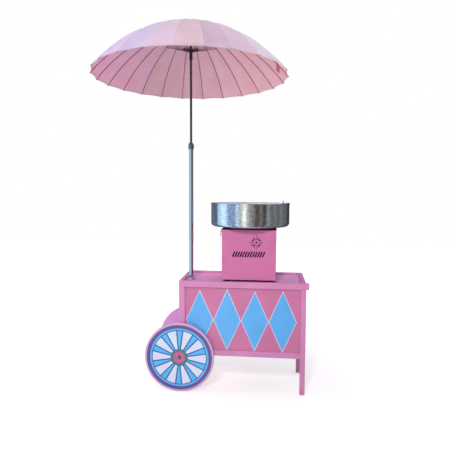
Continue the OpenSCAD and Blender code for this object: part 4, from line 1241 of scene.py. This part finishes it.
class Cards:
    """The cards' glowing colours, by the tone that each one gives the metal."""

    smoke = GlowingCard("card_glowing_smoke", "#646c7b", 0.9)
    sky = GlowingCard("card_glowing_sky", "#bfe0fd", 0.9, 2.6)
    steel = GlowingCard("card_glowing_steel", "#8094bf", 0.9, 2.0)
    linen = GlowingCard("card_glowing_linen", "#a6a8a7", 0.9, 1.9)
    cream = GlowingCard("card_glowing_cream", "#f6ffee", 0.9, 3.0)
    stone = GlowingCard("card_glowing_stone", "#8b8c86", 0.9)
    brown = GlowingCard("card_glowing_brown", "#46392f", 0.9)
    slate = GlowingCard("card_glowing_slate", "#2f373f", 0.9)
    ash = GlowingCard("card_glowing_ash", "#62696f", 0.9)


# Bearing at which each card starts, seen from the bowl, in degrees to the right of the camera
CARD_PLAN: tuple[tuple[float, GlowingCard], ...] = (
    (-180, Cards.slate), (-150, Cards.smoke), (-106, Cards.steel), (-102, Cards.sky), (-95, Cards.steel),
    (-91, Cards.sky), (-68, Cards.steel), (-39.5, Cards.sky), (-32.5, Cards.linen), (-20.5, Cards.cream),
    (-11, Cards.linen), (0, Cards.stone), (13, Cards.brown), (26, Cards.stone), (34, Cards.slate),
    (47, Cards.linen), (55, Cards.ash), (69, Cards.stone), (77, Cards.ash), (92, Cards.stone), (102, Cards.ash),
    (130, Cards.slate))


@dataclass(frozen=True)
class Lamp:
    """A soft square lamp, out of the camera's and the metal's sight, that looks at a target."""

    name: str
    place: Point
    size: float
    power: float
    colour: str
    target: Point = (0.1, 0.0, 1.1)

    def hang(self) -> None:
        """Hang the lamp in its place."""
        light = bpy.data.lights.new(self.name, "AREA")
        light.size = self.size
        light.energy = self.power
        light.color = linear(self.colour)[:3]
        lamp = bpy.data.objects.new(self.name, light)
        lamp.location = self.place
        lamp.visible_camera = False
        lamp.visible_glossy = False
        lamp.rotation_euler = (Vector(self.target) - Vector(self.place)).to_track_quat("-Z", "Y").to_euler()
        bpy.context.scene.collection.objects.link(lamp)


LAMPS = (Lamp("key_light", (-0.3, -4.0, 3.3), 0.5, 93.0, "#fff8fa"),
         Lamp("front_light", (0.7, -4.7, 3.0), 2.0, 43.0, "#fdf6fb"),
         Lamp("right_light", (3.5, -1.0, 3.2), 2.4, 15.0, "#e2def2"),
         Lamp("left_light", (-3.6, -0.2, 2.8), 2.4, 38.0, "#c6ceff"),
         Lamp("back_light", (1.6, 3.2, 3.4), 2.6, 46.0, "#d8d9ff"),
         Lamp("canopy_light", (-2.6, -0.2, 1.5), 1.0, 38.0, "#ffc8bc", (0.45, 0.1, 2.1)))


@dataclass
class Studio:
    """Pale floor, soft light and the photograph's camera."""

    place: Point = (0.42409, -2.75939, 1.27746)
    yaw: float = -5.52
    pitch: float = -4.59
    roll: float = 0.28
    focus_px: float = 429.65
    image_px: int = 452
    sensor_mm: float = 36.0
    floor_size: float = 16.0
    sky: float = 0.36
    # Distance from the bowl and height of a card's foot, bend and top
    card_profile: tuple[Pair, ...] = ((0.5, 0.02), (3.4, 0.02), (3.4, 3.2))
    card_step: float = 5.0

    def build(self) -> None:
        """Set up the world, floor, lamps and camera."""
        scene = bpy.context.scene
        scene.view_settings.view_transform = "Standard"
        self.light_sky(scene)
        self.lay_floor()
        self.stand_cards()
        for lamp in LAMPS:
            lamp.hang()
        self.stand_camera(scene)

    def light_sky(self, scene: bpy.types.Scene) -> None:
        """Light the scene softly from all round, with a white background.

        Args:
            scene: Scene that takes the world.
        """
        world = bpy.data.worlds.new("studio_sky")
        scene.world = world
        world.use_nodes = True
        coat = Coat(world.node_tree, world.node_tree.nodes["Background"])
        coat.put({"Color": WHITE, "Strength": coat.spread(coat.plainly_seen(), FULL, (self.sky, 1.0))})

    def lay_floor(self) -> None:
        """Lay a pale floor that keeps the cart's shadow."""
        half = self.floor_size / 2
        draft = Draft()
        draft.face(draft.row([(-half, -half, 0.0), (half, -half, 0.0), (half, half, 0.0), (-half, half, 0.0)]))
        draft.build("floor", PaleFloor("floor_matt_white", "#d2d2d2", 0.9))

    def stand_cards(self) -> None:
        """Stand tall glowing cards round the machine, which show only as bands in the metal."""
        middle = extent("bowl")[2]
        to_camera = Vector(self.place) - middle
        zero = atan2(to_camera.y, to_camera.x)
        ends = [start for start, _ in CARD_PLAN[1:]] + [180]
        for (start, card), end in zip(CARD_PLAN, ends):
            count = max(2, round((end - start) / self.card_step))
            turns = [zero + radians(start + (end - start) * k / count) for k in range(count + 1)]
            draft = Draft()
            draft.skin([draft.row(middle + polar(a, r, z - middle.z) for a in turns) for r, z in self.card_profile],
                       flip=True)
            piece = draft.build(f"card_{card.name}_{round(start + 180):03d}", card)
            for ray in ("camera", "diffuse", "transmission", "shadow"):
                setattr(piece, f"visible_{ray}", False)

    def stand_camera(self, scene: bpy.types.Scene) -> None:
        """Stand the camera where the photograph was taken.

        Args:
            scene: Scene that looks through it.
        """
        yaw, pitch, roll = (radians(a) for a in (self.yaw, self.pitch, self.roll))
        ahead = Vector((sin(yaw) * cos(pitch), cos(yaw) * cos(pitch), sin(pitch)))
        level = Vector((cos(yaw), -sin(yaw), 0.0))
        right = level * cos(roll) + level.cross(ahead) * sin(roll)
        data = bpy.data.cameras.new("photo_camera")
        data.sensor_width = self.sensor_mm
        data.lens = self.focus_px / self.image_px * self.sensor_mm
        camera = bpy.data.objects.new("photo_camera", data)
        turn = Matrix((right, right.cross(ahead), -ahead)).transposed().to_4x4()
        camera.matrix_world = Matrix.Translation(Vector(self.place)) @ turn
        scene.collection.objects.link(camera)
        scene.camera = camera


def main() -> None:
    """Build the cart's looks in order."""
    logging.basicConfig(level=logging.INFO, format="%(name)s: %(message)s")
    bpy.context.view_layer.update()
    for part in (CartBody(), PanelArt(), CartWheel(Side.FRONT), CartWheel(Side.REAR), Mast(), Parasol(),
                 CandyMachine(), Studio()):
        log.info("building %s", type(part).__name__)
        part.build()


if __name__ == "__main__":
    main()
